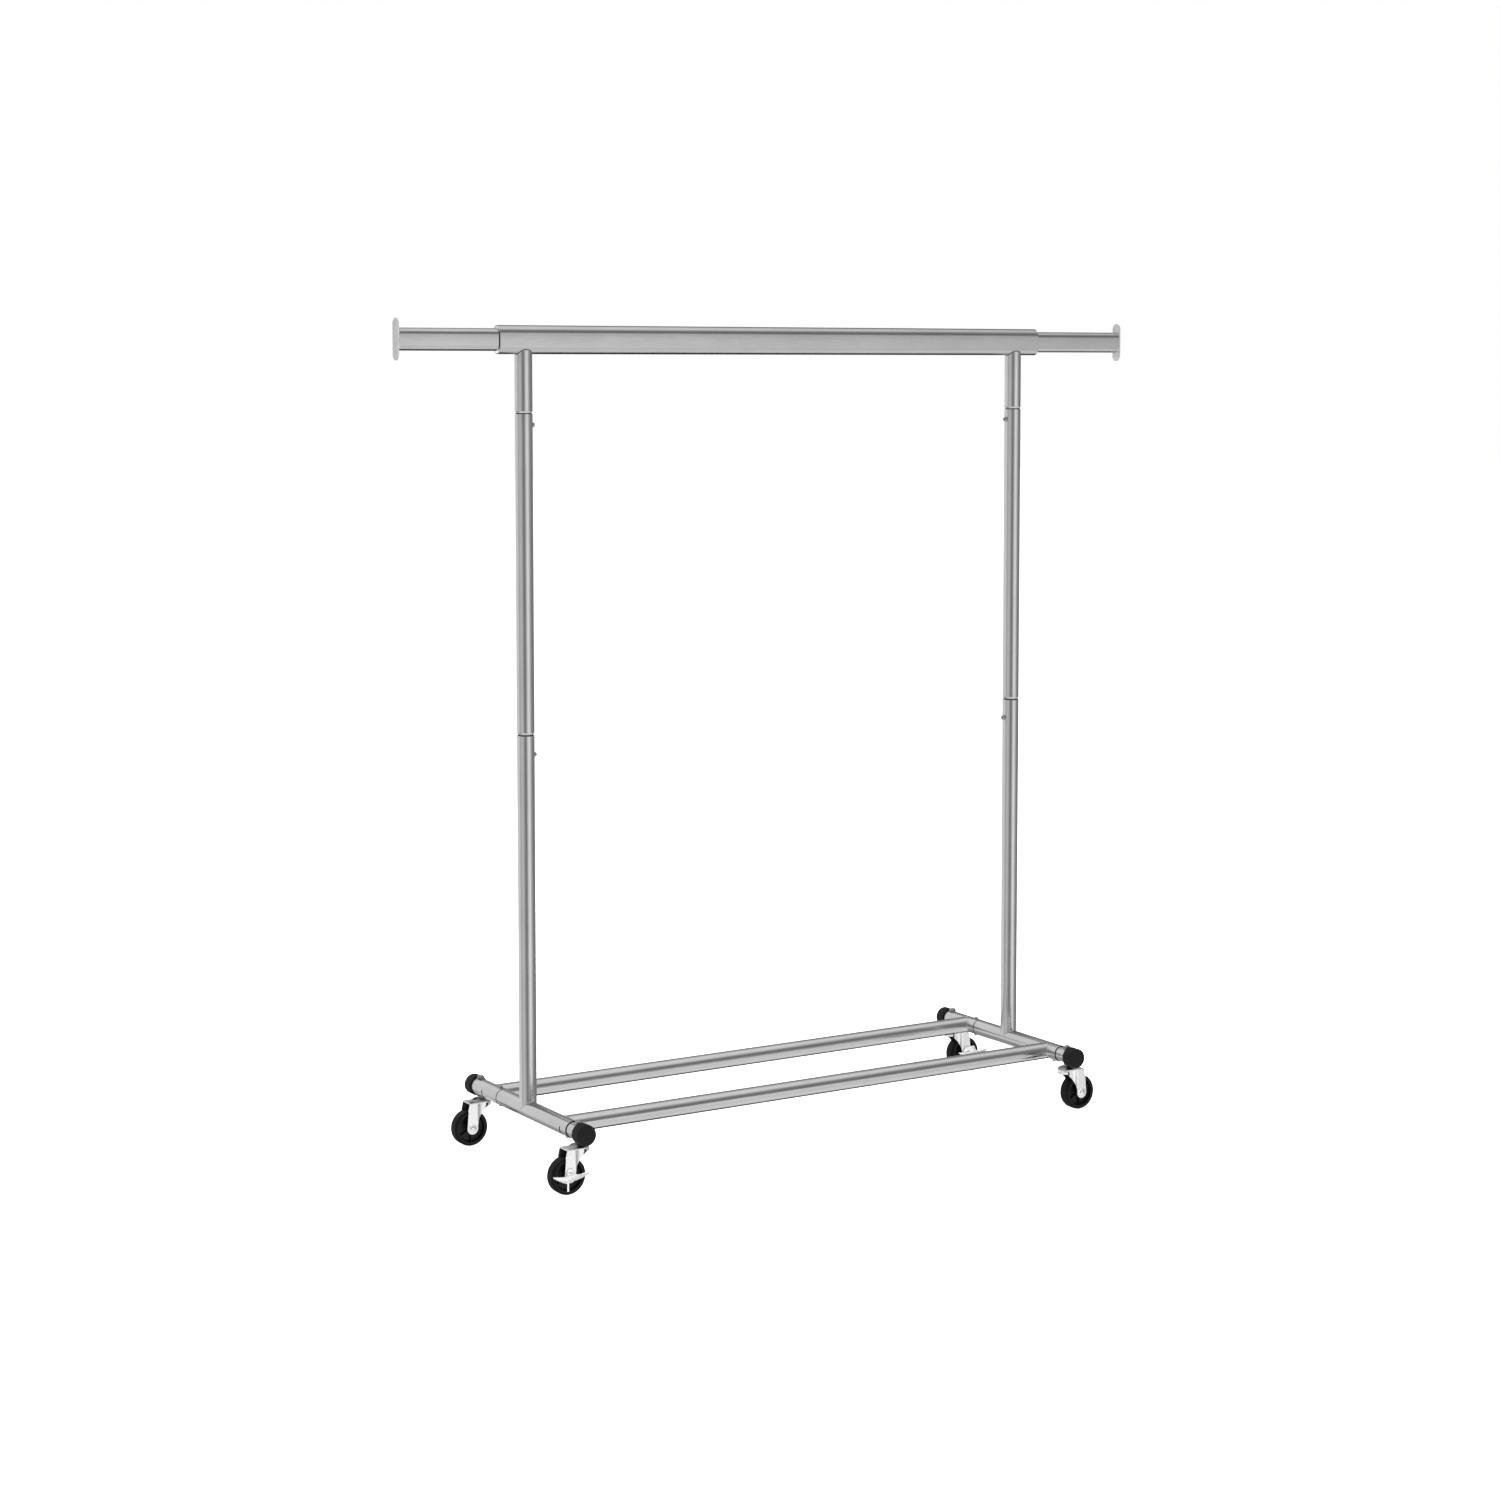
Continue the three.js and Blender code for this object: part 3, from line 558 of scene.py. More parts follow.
def rear_sleeve(hand, side):
    node = f"{hand}_rear_sleeve"
    start, end = low(node).y, high(node).y
    profile = [
        *rim_points(TUBE_R, start, TUBE_RIM),
        *beside_slot(TUBE_R, REAR_SLOT_Y),
        (TUBE_R, end),
        (BORE_R, end),
        *reversed(beside_slot(BORE_R, REAR_SLOT_Y)),
        (BORE_R, start),
    ]
    slotted_tube(node, side, profile, REAR_SLOT_Y, 0)


def front_stub(hand):
    node = f"{hand}_front_stub"
    mouth = low(f"{hand}_side_tube").y - JOINT_GAP
    start, end, inner = low(node).y, high(node).y, SPIGOT_R - TUBE_WALL
    profile = [*rim_points(SPIGOT_R, start, FINE_RIM), (SPIGOT_R, mouth - FINE_RIM)]
    profile += [(SPIGOT_R, mouth), (SPIGOT_R, end), (inner, end), (inner, start)]
    centre = Vector((middle(node).x, 0, BASE_Z))
    mesh = turned(profile, "y", centre, closed=True)
    # its faces inside the side tube get painted shade
    make(node, mesh, CHROME["y"], "frame", inside=lambda p: p.y > mouth)


def open_start(mesh_data):
    """The surface without the face that closes its first ring."""
    vertices, faces = mesh_data
    return vertices, faces[:-2] + faces[-1:]


def end_cap(hand, place, direction):
    """A moulded cup with a rounded edge, a slightly crowned face and a thin lip over the tube."""
    node = f"{hand}_{place}_cap"
    radius = size(node).x / 2
    bore = (SPIGOT_R if place == "front" else TUBE_R) + 0.3 * MM
    ends = (low(node).y, high(node).y)
    end, lip = ends if direction < 0 else reversed(ends)
    step = direction * MM
    profile = [
        (bore, lip),
        (radius - 0.5 * MM, lip),
        (radius - 0.1 * MM, lip + 0.4 * step),
        (radius, lip + 1.0 * step),
        (radius, end - 2.0 * step),
        (radius - 0.25 * MM, end - 1.1 * step),
        (radius - 0.8 * MM, end - 0.55 * step),
        (radius - 1.6 * MM, end - 0.35 * step),
        (radius * 0.6, end - 0.1 * step),
        (radius * 0.2, end),
    ]
    bottom = end - 2.7 * step
    lining = [(bore, lip), (bore, bottom), (radius * 0.2, bottom)]
    centre = Vector((middle(node).x, 0, BASE_Z))
    shell = joined(*(open_start(turned(run, "y", centre)) for run in (profile, lining)))
    make(node, shell, CAP, "frame", 50)


def base_rail(place):
    """A cross rail whose ends are coped to fit the side tubes, with a fine weld bead around each."""
    node = f"{place}_rail"
    centre = Vector((0, middle(node).y, BASE_Z))
    reach = -middle("left_side_tube").x

    def end(side, clearance=0.0):
        tube = TUBE_R + clearance
        return lambda u, v: side * (reach - math.sqrt(max(tube * tube - v * v, 0)))

    profile = [(TUBE_R, end(-1)), (TUBE_R, -reach / 2), (TUBE_R, 0), (TUBE_R, reach / 2), (TUBE_R, end(1))]
    profile += [(BORE_R, end(1)), (BORE_R, end(-1))]
    parts = [turned(profile, "x", centre, closed=True)]
    for side in (-1, 1):
        path = []
        for cos, sin in circle(WELD_STEPS):
            y, z = TUBE_R * cos, TUBE_R * WELD_SQUEEZE * sin
            path.append(centre + Vector((end(side, 0.3 * MM)(y, z), y, z)))
        parts.append(bead(path, WELD_R))
    make(node, joined(*parts), CHROME["x"], "frame")


# ---- Uprights -----------------------------------------------------------------------------------


def lower_upright(hand):
    """A tube coped and welded onto the side tube."""
    node = f"{hand}_lower_upright"
    centre = Vector((middle(node).x, 0, 0))

    def foot(u, v):
        return BASE_Z + math.sqrt(max(TUBE_R * TUBE_R - u * u, 0))

    top = LOWER_JOINT_Z - TUBE_END_GAP
    profile = [
        (TUBE_R, foot),
        (TUBE_R, BASE_Z + 100 * MM),
        *reversed(rim_points(TUBE_R, top, TUBE_RIM, -1)),
        (BORE_R, top),
        (BORE_R, foot),
    ]
    path = []
    for cos, sin in circle(WELD_STEPS):
        x, y = TUBE_R * WELD_SQUEEZE * cos, TUBE_R * sin
        path.append(centre + Vector((x, y, foot(x, y))))
    shape = joined(turned(profile, "z", centre, closed=True), bead(path, WELD_R))
    make(node, shape, CHROME["z"], "frame")


def spigot_tube(node, profile, centre, joint):
    """An upright tube whose faces below the gap at the joint it stands on get painted shade."""
    mesh = turned(profile, "z", centre, closed=True)
    make(node, mesh, CHROME["z"], "frame", inside=lambda p: p.z < joint + JOINT_GAP)


def upper_upright(hand):
    node = f"{hand}_upper_upright"
    centre = Vector((middle(node).x, 0, 0))
    spigot = LOWER_JOINT_Z - low(node).z
    profile = swaged_profile(LOWER_JOINT_Z, UPPER_JOINT_Z - TUBE_END_GAP, spigot)
    spigot_tube(node, profile, centre, LOWER_JOINT_Z)


def bar_stub(hand):
    """The short top tube, shaped to a saddle that holds the bar, with a fine dark gap around it."""
    node = f"{hand}_bar_stub"
    centre = Vector((middle(node).x, 0, 0))
    saddle = high(node).z - 3.5 * MM
    radius = BAR_DEPTH / 2 + 0.6 * MM
    oval_z = BAR_Z - BAR_HEIGHT / 2 + BAR_DEPTH / 2

    def top(u, v):
        return min(saddle, oval_z - math.sqrt(max(radius * radius - v * v, 0)))

    spigot = UPPER_JOINT_Z - low(node).z
    profile = swaged_profile(UPPER_JOINT_Z, 0, spigot)
    profile[-2:] = [(BORE_R, top), (TUBE_R - 0.6 * MM, top)]
    profile += [(TUBE_R, lambda u, v: top(u, v) - 0.7 * MM), (TUBE_R, lambda u, v: top(u, v) - 1.6 * MM)]
    spigot_tube(node, profile, centre, UPPER_JOINT_Z)


# ---- Fasteners ----------------------------------------------------------------------------------


def button_head(radius, height, shank_radius, shank, nut=None):
    """A bolt's profile along its own axis: washer, domed head with a socket, and shank; the head is
    below zero. A nut closes the far end."""
    socket = radius * 0.42
    head = [
        (socket * 0.9, -height * 0.45),
        (socket, -height * 0.9),
        (socket * 1.15, -height),
        (radius * 0.68, -height * 0.93),
        (radius * 0.86, -height * 0.66),
        (radius * 0.9, -height * 0.34),
        (radius * 0.9, -height * 0.22),
        (radius, -height * 0.2),
        (radius, 0),
        (shank_radius, 0),
    ]
    if nut:
        nut_radius, nut_height = nut
        head += [(shank_radius, shank - nut_height), (nut_radius, shank - nut_height)]
        head += [(nut_radius, shank - nut_height / 3), (nut_radius * 0.8, shank)]
    else:
        head += [(shank_radius, shank - 0.5 * MM), (shank_radius * 0.8, shank)]
    return head


def bolt(node, axis, centre, direction, profile):
    """A bolt with its head on the side of the tube that direction gives."""
    seat = direction * (TUBE_R - 0.1 * MM)
    placed = [(radius, seat - direction * place) for radius, place in profile]
    make(node, turned(placed, axis, centre, FINE), FASTENER, "frame")


def upright_bolt(hand, side, level):
    """A button-head bolt in the inner side of an upright."""
    node = f"{hand}_{level}_bolt"
    centre = Vector((middle(f"{hand}_upper_upright").x, 0, middle(node).z))
    bolt(node, "x", centre, -side, button_head(size(node).z / 2, 5.2 * MM, 2.8 * MM, 13 * MM))


def base_bolt(hand, kind):
    """The bolt down through the rear sleeve, or the one that stops the front stub from below."""
    node = f"{hand}_{kind}_bolt"
    centre = Vector((middle(node).x, middle(node).y, BASE_Z))
    radius, head = size(node).x / 2, 3.6 * MM
    if kind == "sleeve":
        profile = button_head(radius, head, 2 * MM, 2 * TUBE_R + 3 * MM, (3.8 * MM, 2.6 * MM))
        bolt(node, "z", centre, 1, profile)
    else:
        bolt(node, "z", centre, -1, button_head(radius, head, 1.5 * MM, 9 * MM))


# ---- Hanging bar --------------------------------------------------------------------------------


def hanging_bar():
    bar = oval_tube(BAR[0].x, BAR[1].x, BAR_Z, BAR_DEPTH, BAR_HEIGHT, OVAL_WALL, 0.5 * MM)
    make("hanging_bar", bar, SHADED_BAR_CHROME, "frame")


def bar_bush(hand, side):
    """A plastic guide in the bar's mouth; its sides lie deeper than its top and bottom."""
    node = f"{hand}_bar_bush"
    depth, height = size(node).y, size(node).z
    tube = size(f"{hand}_extension_tube")
    wall = (depth - tube.y) / 2 - 0.3 * MM
    foot = (height - tube.z) / 2 - 0.3 * MM
    mouth = BAR[0].x if side < 0 else BAR[1].x
    back = mouth - side * size(node).x
    flush = tube.z / 2 - 2 * MM

    def face(y, z):
        deep = min(1.0, max(0.0, (flush - abs(z)) / (2 * MM)))
        return mouth - side * (0.3 * MM + 4.5 * MM * deep)

    outer, inner = oval(depth, height), oval(depth - 2 * wall, height - 2 * foot)
    rings = []
    for points, x in ((outer, face), (outer, None), (inner, None), (inner, face)):
        rings.append([Vector((x(y, z) if x else back, y, BAR_Z + z)) for y, z in points])
    make(node, skin(rings, closed=True), BUSH, "frame")


def extension(hand, side):
    """The sliding end: a smaller oval tube with a stadium plate welded across its end."""
    body, node = f"{hand}_extension", f"{hand}_extension_tube"
    depth, height = size(node).y, size(node).z
    tube = oval_tube(low(node).x, high(node).x, BAR_Z, depth, height, OVAL_WALL)
    make(node, tube, SHADED_BAR_CHROME, body)

    node = f"{hand}_end_plate"
    start, end = low(node).x, high(node).x
    rim = 0.7 * MM
    edge = ((rim, 0), (0.2 * rim, 0.25 * rim), (0, rim))
    sections = [(inset, start + x) for inset, x in edge]
    sections += [(inset, end - x) for inset, x in reversed(edge)]
    plate_mesh = skin(oval_rings(sections, BAR_Z, size(node).y, size(node).z))
    seam_x = (start if side > 0 else end) - side * 0.2 * MM
    path = [Vector((seam_x, y, BAR_Z + z)) for y, z in oval(depth, height, 40)]
    make(node, joined(plate_mesh, bead(path, 0.9 * MM)), PLATE_STEEL, body)


# ---- Casters ------------------------------------------------------------------------------------

FORK_SHEET = 2.0 * MM
NOSE = -3.5 * MM  # centre of the fork's round nose, along the trail
CREASE_DEPTH = 2.8 * MM  # the fork narrows by this much behind its pressed crease, most of it at once


def between(table, value):
    """A number read from (key, number) pairs, with straight lines between them."""
    if value <= table[0][0]:
        return table[0][1]
    for (a, x), (b, y) in zip(table, table[1:]):
        if value <= b:
            return x + (y - x) * (value - a) / (b - a)
    return table[-1][1]


def smooth(value):
    value = min(1.0, max(0.0, value))
    return value * value * (3 - 2 * value)


class Caster:
    """Where one caster stands, and which way its wheel trails."""

    def __init__(self, name, side):
        self.name, self.side = name, side
        stem, wheel = middle(f"{name}_stem"), middle(f"{name}_wheel")
        self.stem = Vector((stem.x, stem.y, 0))
        self.axle = Vector((wheel.x, stem.y, wheel.z))
        self.top = high(f"{name}_fork").z
        self.half = size(f"{name}_fork").y / 2
        self.swivel = f"{name}_swivel"

    def at(self, trail, y, z):
        """A point at a distance towards the trailing side of the stem."""
        return self.stem + Vector((self.side * trail, y, z))


def fork_half_width(caster, trail, z):
    """Half the outer width of the fork: full beside the wheel, narrower behind the crease, and round
    at the nose."""
    front = between(((0.045, 13.3 * MM), (0.084, 14.4 * MM)), z)
    rear = between(((0.045, 8.1 * MM), (0.084, 2.8 * MM)), z)
    share = min(1.0, max(0.0, (front - trail) / (front - rear)))
    depth = CREASE_DEPTH * (1 - (1 - share) ** 2.4)
    half = caster.half - depth
    if trail < NOSE:
        half = math.sqrt(max(half * half - (NOSE - trail) ** 2, 0))
    return half


def fork_leg(caster, hand):
    """One leg, from the top plate down to the boss around the axle; hand is -1 in front, 1 behind."""
    axle_z, boss = caster.axle.z, 11.3 * MM
    offset = abs(caster.axle.x - caster.stem.x)
    front_edge = [(0.037, boss), (0.071, 8.6 * MM), (0.084, 5.6 * MM)]

    def rear_edge(z):
        return -boss - 24.8 * MM * min(1, (z - 0.037) / 0.04) ** 2.2

    rows = []
    for k in range(1, 13):
        angle = math.pi / 2 * k / 12
        reach = boss * math.sin(angle)
        rows.append((axle_z - boss * math.cos(angle), -reach, reach))
    z = 0.037
    while z < caster.top - 1.4 * MM:
        rows.append((z, rear_edge(z), between(front_edge, z)))
        z += 2 * MM
    z = caster.top - 1.4 * MM
    rows.append((z, rear_edge(z), between(front_edge, z)))
    columns = 22
    outer, inner = [], []
    for z, rear, front in rows:
        out_row, in_row = [], []
        for c in range(columns + 1):
            trail = offset + rear + (front - rear) * c / columns
            half = fork_half_width(caster, trail, z)
            distance = math.hypot(trail - offset, z - axle_z)
            half += 0.7 * MM * smooth((8.4 * MM - distance) / (1.4 * MM))
            out_row.append(caster.at(trail, hand * half, z))
            in_row.append(caster.at(trail, hand * (half - FORK_SHEET), z))
        outer.append(out_row)
        inner.append(in_row)
    return sheet_mesh(outer, inner)


def sheet_mesh(outer, inner):
    """A closed sheet between two grids of points with the same rows and columns."""
    rows, columns = len(outer), len(outer[0])
    vertices = [p for row in outer for p in row] + [p for row in inner for p in row]
    back = rows * columns
    faces = []
    for i in range(rows - 1):
        for k in range(columns - 1):
            a, b = i * columns + k, (i + 1) * columns + k
            faces.append((a, a + 1, b + 1, b))
            faces.append((back + a, back + b, back + b + 1, back + a + 1))
    for i in range(rows - 1):
        for k in (0, columns - 1):
            a, b = i * columns + k, (i + 1) * columns + k
            faces.append((a, b, back + b, back + a))
    for i in (0, rows - 1):
        for k in range(columns - 1):
            a = i * columns + k
            faces.append((a, back + a, back + a + 1, a + 1))
    return vertices, faces


def fork_top(caster):
    """The top plate, square towards the wheel and round at the nose, with an edge turned down around
    the nose."""
    front = abs(caster.axle.x - caster.stem.x) + 5.5 * MM
    half, corner = caster.half, 2 * MM
    quarter = math.pi / 2
    outline = arc(front - corner, corner - half, corner, -quarter, quarter, 6)
    outline += arc(front - corner, half - corner, corner, 0, quarter, 6)
    outline += arc(NOSE, 0, half, quarter, math.pi, 36)
    top = plate(outline, caster.top - 2.5 * MM, caster.top, 0.8 * MM, caster.at)

    margin = 0.35  # the skirt stops this angle short of the legs on each side
    skirt_bottom = caster.top - 9 * MM
    outer, inner = [], []
    for z in (skirt_bottom, skirt_bottom + 0.6 * MM, caster.top - 3 * MM, caster.top - 1 * MM):
        rim = 0.4 * MM if z == skirt_bottom else 0
        out_row, in_row = [], []
        for k in range(41):
            angle = quarter + margin + (math.pi - 2 * margin) * k / 40
            for row, r in ((out_row, half - rim), (in_row, half - FORK_SHEET)):
                row.append(caster.at(NOSE + r * math.cos(angle), r * math.sin(angle), z))
        outer.append(out_row)
        inner.append(in_row)
    return joined(top, sheet_mesh(outer, inner))


def fork(caster):
    parts = joined(fork_leg(caster, -1), fork_leg(caster, 1), fork_top(caster))
    skin_depth = 1.1 * MM  # faces deeper in the sheet than this belong to its inner side
    deepest = caster.half - FORK_SHEET - CREASE_DEPTH

    def inside(point):
        y, trail = point.y - caster.stem.y, (point.x - caster.stem.x) * caster.side
        if point.z > caster.top - 2 * MM:
            return False
        if trail < NOSE:
            return math.hypot(trail - NOSE, y) < caster.half - skin_depth
        return abs(y) < max(deepest, fork_half_width(caster, trail, point.z) - skin_depth)

    # the inner side of the sheet, facing the wheel, gets painted shade
    make(f"{caster.name}_fork", parts, ZINC, caster.swivel, 40, inside=inside)


def axle(caster, has_brake):
    """A domed rivet through the legs, with a collar against each leg."""
    node = f"{caster.name}_axle"
    front, back = low(node).y - caster.stem.y, high(node).y - caster.stem.y
    head, shank, collar = 6.4 * MM, 4 * MM, 0.1 * MM
    front_seat = -caster.half - (2.6 * MM if has_brake else 0.2 * MM)
    back_seat = caster.half + 0.2 * MM
    dome = ((0.25, 1.0), (0.6, 0.9), (0.84, 0.62), (0.93, 0.3))
    profile = [(head * r, front_seat - (front_seat - front) * h) for r, h in dome]
    profile += [(head, front_seat - collar), (head, front_seat), (shank, front_seat)]
    profile += [(shank, back_seat), (head, back_seat), (head, back_seat + collar)]
    profile += [(head * r, back_seat + (back - back_seat) * h) for r, h in reversed(dome)]
    make(node, turned(profile, "y", caster.axle, FINE), ZINC, caster.swivel)


def rib(centre, turn, y):
    """One rib from a wheel's core out to its rim, on the side that y gives, thinner at its crest."""
    out = Vector((math.cos(turn), 0, math.sin(turn)))
    across = Vector((-math.sin(turn), 0, math.cos(turn)))
    near, far = 10.2 * MM, 26.2 * MM
    outline = ((near, 1.0 * MM), (near, -1.0 * MM), (far, -0.7 * MM), (far, 0.7 * MM))
    rings = []
    for depth, shrink in ((3.6, 1.0), (8.4, 0.75), (8.8, 0.45)):
        level = Vector((0, y * depth * MM, 0))
        rings.append([centre + out * a + across * b * shrink + level for a, b in outline])
    return skin(rings)


def wheel(caster):
    """A solid wheel: crowned tread, a thin moulding ridge on each side, a recessed web and six ribs."""
    node = f"{caster.name}_wheel"
    radius, half = caster.axle.z, 12 * MM
    centre = caster.axle
    side = [
        (radius, 0.0),
        (radius - 0.05 * MM, 6 * MM),
        (radius - 0.3 * MM, 9 * MM),
        (radius - 1.1 * MM, 11 * MM),
        (radius - 2.3 * MM, half - 0.1 * MM),
        (radius - 3.4 * MM, half),
        (radius - 3.7 * MM, half - 0.5 * MM),
        (radius - 4.3 * MM, half - 0.5 * MM),
        (radius - 4.7 * MM, half + 0.1 * MM),
        (radius - 7.4 * MM, half),
        (radius - 8.2 * MM, half - 0.8 * MM),
        (radius - 9.4 * MM, 4.6 * MM),
        (radius - 10.4 * MM, 4 * MM),
        (12 * MM, 4 * MM),
        (10.6 * MM, 4.8 * MM),
        (10 * MM, 12.8 * MM),
        (9.5 * MM, 13.4 * MM),
        (4.3 * MM, 13.4 * MM),
    ]
    profile = side + [(r, -y) for r, y in reversed(side[1:])]
    solid = turned(profile, "y", centre, ROUND, closed=True)
    ribs = [rib(centre, math.radians(-90 + 60 * k), y) for k in range(6) for y in (-1, 1)]

    def core(point):
        return math.hypot(point.x - centre.x, point.z - centre.z) < radius - 3.5 * MM

    shape, body = joined(solid, *ribs), f"{caster.name}_rolling_wheel"
    make(node, shape, TREAD, body, 40, inside=core, inner=HUB)


def swivel_race(caster):
    """The domed ball race that stands on the fork, in two steps."""
    node = f"{caster.name}_swivel_race"
    bottom, height = low(node).z, size(node).z
    radius = size(node).x / 2
    steps = ((0.985, 0.0), (1.0, 0.08), (0.985, 0.2), (0.93, 0.36), (0.86, 0.5), (0.83, 0.56), (0.8, 0.57))
    steps += ((0.74, 0.66), (0.64, 0.82), (0.52, 0.93), (0.42, 0.97), (0.3, 1.0))
    bore = 5.3 * MM
    profile = [(radius * r, bottom + height * h) for r, h in steps]
    profile += [(bore, bottom + height), (bore, bottom)]
    mesh = turned(profile, "z", caster.stem, ROUND, closed=True)
    make(node, mesh, FASTENER, "frame", 50)


def stem(caster):
    node = f"{caster.name}_stem"
    bottom, top = low(node).z, high(node).z
    race_top = high(f"{caster.name}_swivel_race").z
    tube = SPIGOT_R if caster.name.startswith("front") else TUBE_R
    collar = BASE_Z - tube - 0.2 * MM
    profile = [
        (8.4 * MM, bottom),
        (9 * MM, bottom + 0.6 * MM),
        (9 * MM, caster.top - 2.9 * MM),
        (5 * MM, caster.top - 2.8 * MM),
        (5 * MM, race_top + 0.3 * MM),
        (6.4 * MM, race_top + 0.5 * MM),
        (7 * MM, race_top + 1 * MM),
        (7 * MM, collar - 0.8 * MM),
        (6.3 * MM, collar),
        (4 * MM, collar),
        (4 * MM, top - 0.5 * MM),
        (3.4 * MM, top),
    ]
    make(node, turned(profile, "z", caster.stem, FINE), FASTENER, "frame")


def stem_nut(caster):
    """A domed hexagon nut with chamfered corners, standing on a thin washer."""
    node = f"{caster.name}_stem_nut"
    bottom, top = low(node).z, high(node).z
    corner = size(node).y / 2
    flat = corner * math.cos(math.pi / 6)
    seat = bottom + 4.4 * MM

    def hexagon(limit):
        def radius(angle):
            return min(limit, flat / math.cos((angle + math.pi / 6) % (math.pi / 3) - math.pi / 6))

        return radius

    profile = [
        (corner + 0.6 * MM, bottom - 0.2 * MM),
        (corner + 0.6 * MM, bottom + 0.7 * MM),
        (hexagon(flat * 1.02), bottom + 0.7 * MM),
        (hexagon(corner), bottom + 1.4 * MM),
        (hexagon(corner), seat - 0.8 * MM),
        (hexagon(flat), seat),
        (flat * 0.9, seat + 0.1 * MM),
        (flat * 0.86, seat + (top - seat) * 0.3),
        (flat * 0.66, seat + (top - seat) * 0.75),
        (flat * 0.3, top - 0.1 * MM),
        (flat * 0.12, top),
    ]
    make(node, turned(profile, "z", caster.stem, FINE), FASTENER, "frame")


# Points the wings' outline runs through: along X from the middle of their neck, and down the slope
WINGS = (
    (7, 0), (-7, 0), (-8.5, -5), (-14, -8.2), (-25, -7.6), (-39, -6.4), (-30, -14.5), (-20, -20.3),
    (-12, -22.3), (-4, -20), (14, -16.4), (37, -9), (30, -5.8), (14, -8), (8.5, -5),
)  # fmt: skip


def rounded(points, steps=4):
    """A closed smooth curve through points (Catmull-Rom)."""
    count, curve = len(points), []
    for i in range(count):
        a, b, c, d = (Vector(points[(i + k) % count]) for k in (-1, 0, 1, 2))
        second, third = 2 * a - 5 * b + 4 * c - d, 3 * b - a - 3 * c + d
        for step in range(steps):
            t = step / steps
            curve.append((2 * b + (c - a) * t + second * t**2 + third * t**3) / 2)
    return curve


def brake_pedal(caster, shift):
    """A pressed pedal: two sloping wings on a plate that turns about the axle, and a tongue that hangs
    from their lowest point."""
    node = f"{caster.name}_brake_pedal"
    slope = math.radians(50)
    plate_back = -caster.half - 0.3 * MM
    plate_front = plate_back - FORK_SHEET
    top = 11 * MM
    centre = caster.axle

    def on_slope(a, b, height):
        """Along X, down the slope (b below zero) and out from its face."""
        y = plate_front + 0.5 * MM + b * math.cos(slope) - height * math.sin(slope)
        z = top + b * math.sin(slope) + height * math.cos(slope)
        return centre + Vector((shift + a, y, z))

    outline = [(a * MM, min(0.0, b) * MM) for a, b in rounded(WINGS)]
    parts = [plate(outline, -1.7 * MM, 0, 0.6 * MM, on_slope)]
    for a, b in ((-9.5, -12.5), (-14, -13)):
        rings = []
        for radius, height in ((1.5, -0.5), (1.5, 0.5), (1.1, 1.0), (0.5, 1.2)):
            spots = [((a + radius * cos) * MM, (b + radius * sin) * MM) for cos, sin in circle(16)]
            rings.append([on_slope(x, down, height * MM) for x, down in spots])
        parts.append(skin(rings))
    ridge = [(1, -7.4), (2, -6.2), (9.4, -10.4), (8.4, -11.6)]
    parts.append(plate([(a * MM, b * MM) for a, b in ridge], -0.4 * MM, 0.9 * MM, 0.35 * MM, on_slope))

    def upright(a, z, y):
        return centre + Vector((a, y, z))

    low_end, high_end = -7.5 * MM, shift + 7.5 * MM
    outline = arc(0, 0, 9 * MM, math.pi, math.pi, 18)
    outline += [(high_end, top), (high_end - 3 * MM, top + 5 * MM)]
    outline += [(low_end + 3 * MM, top + 5 * MM), (low_end, top)]
    parts.append(plate(outline, plate_front, plate_back, 0.4 * MM, upright))

    tongue_x, lowest = shift - 13 * MM, -22 * MM
    y = plate_front + 0.5 * MM + lowest * math.cos(slope)
    z = top + lowest * math.sin(slope) + 1 * MM
    tongue = [(-1.7, 0), (1.7, 0), (1.7, -16.4), (1.2, -17), (-1.2, -17), (-1.7, -16.4)]
    outline = [(tongue_x + a * MM, z + b * MM) for a, b in tongue]
    parts.append(plate(outline, y, y + 2 * MM, 0.35 * MM, upright))
    make(node, joined(*parts), PEDAL_ZINC, f"{caster.name}_brake", 30)


# ---- Stage, light and camera --------------------------------------------------------------------

WHITE = (1, 1, 1, 1)


def floor():
    """A plain pale floor. It isn't seen in reflections, which come from the studio around."""
    reach = 30
    corners = [(-reach, -reach, 0), (reach, -reach, 0), (reach, reach, 0), (-reach, reach, 0)]
    mesh = bpy.data.meshes.new("floor")
    mesh.from_pydata(corners, [], [(0, 1, 2, 3)])
    n = Nodes("pale_floor")
    n.set("Base Color", (0.9, 0.9, 0.9, 1))
    n.set("Roughness", 1.0)
    n.set("Specular IOR Level", 0.0)
    n.set("Emission Color", WHITE)
    n.set("Emission Strength", 0.85)
    mesh.materials.append(n.material)
    piece = bpy.data.objects.new("floor", mesh)
    bpy.context.scene.collection.objects.link(piece)
    piece.visible_glossy = False


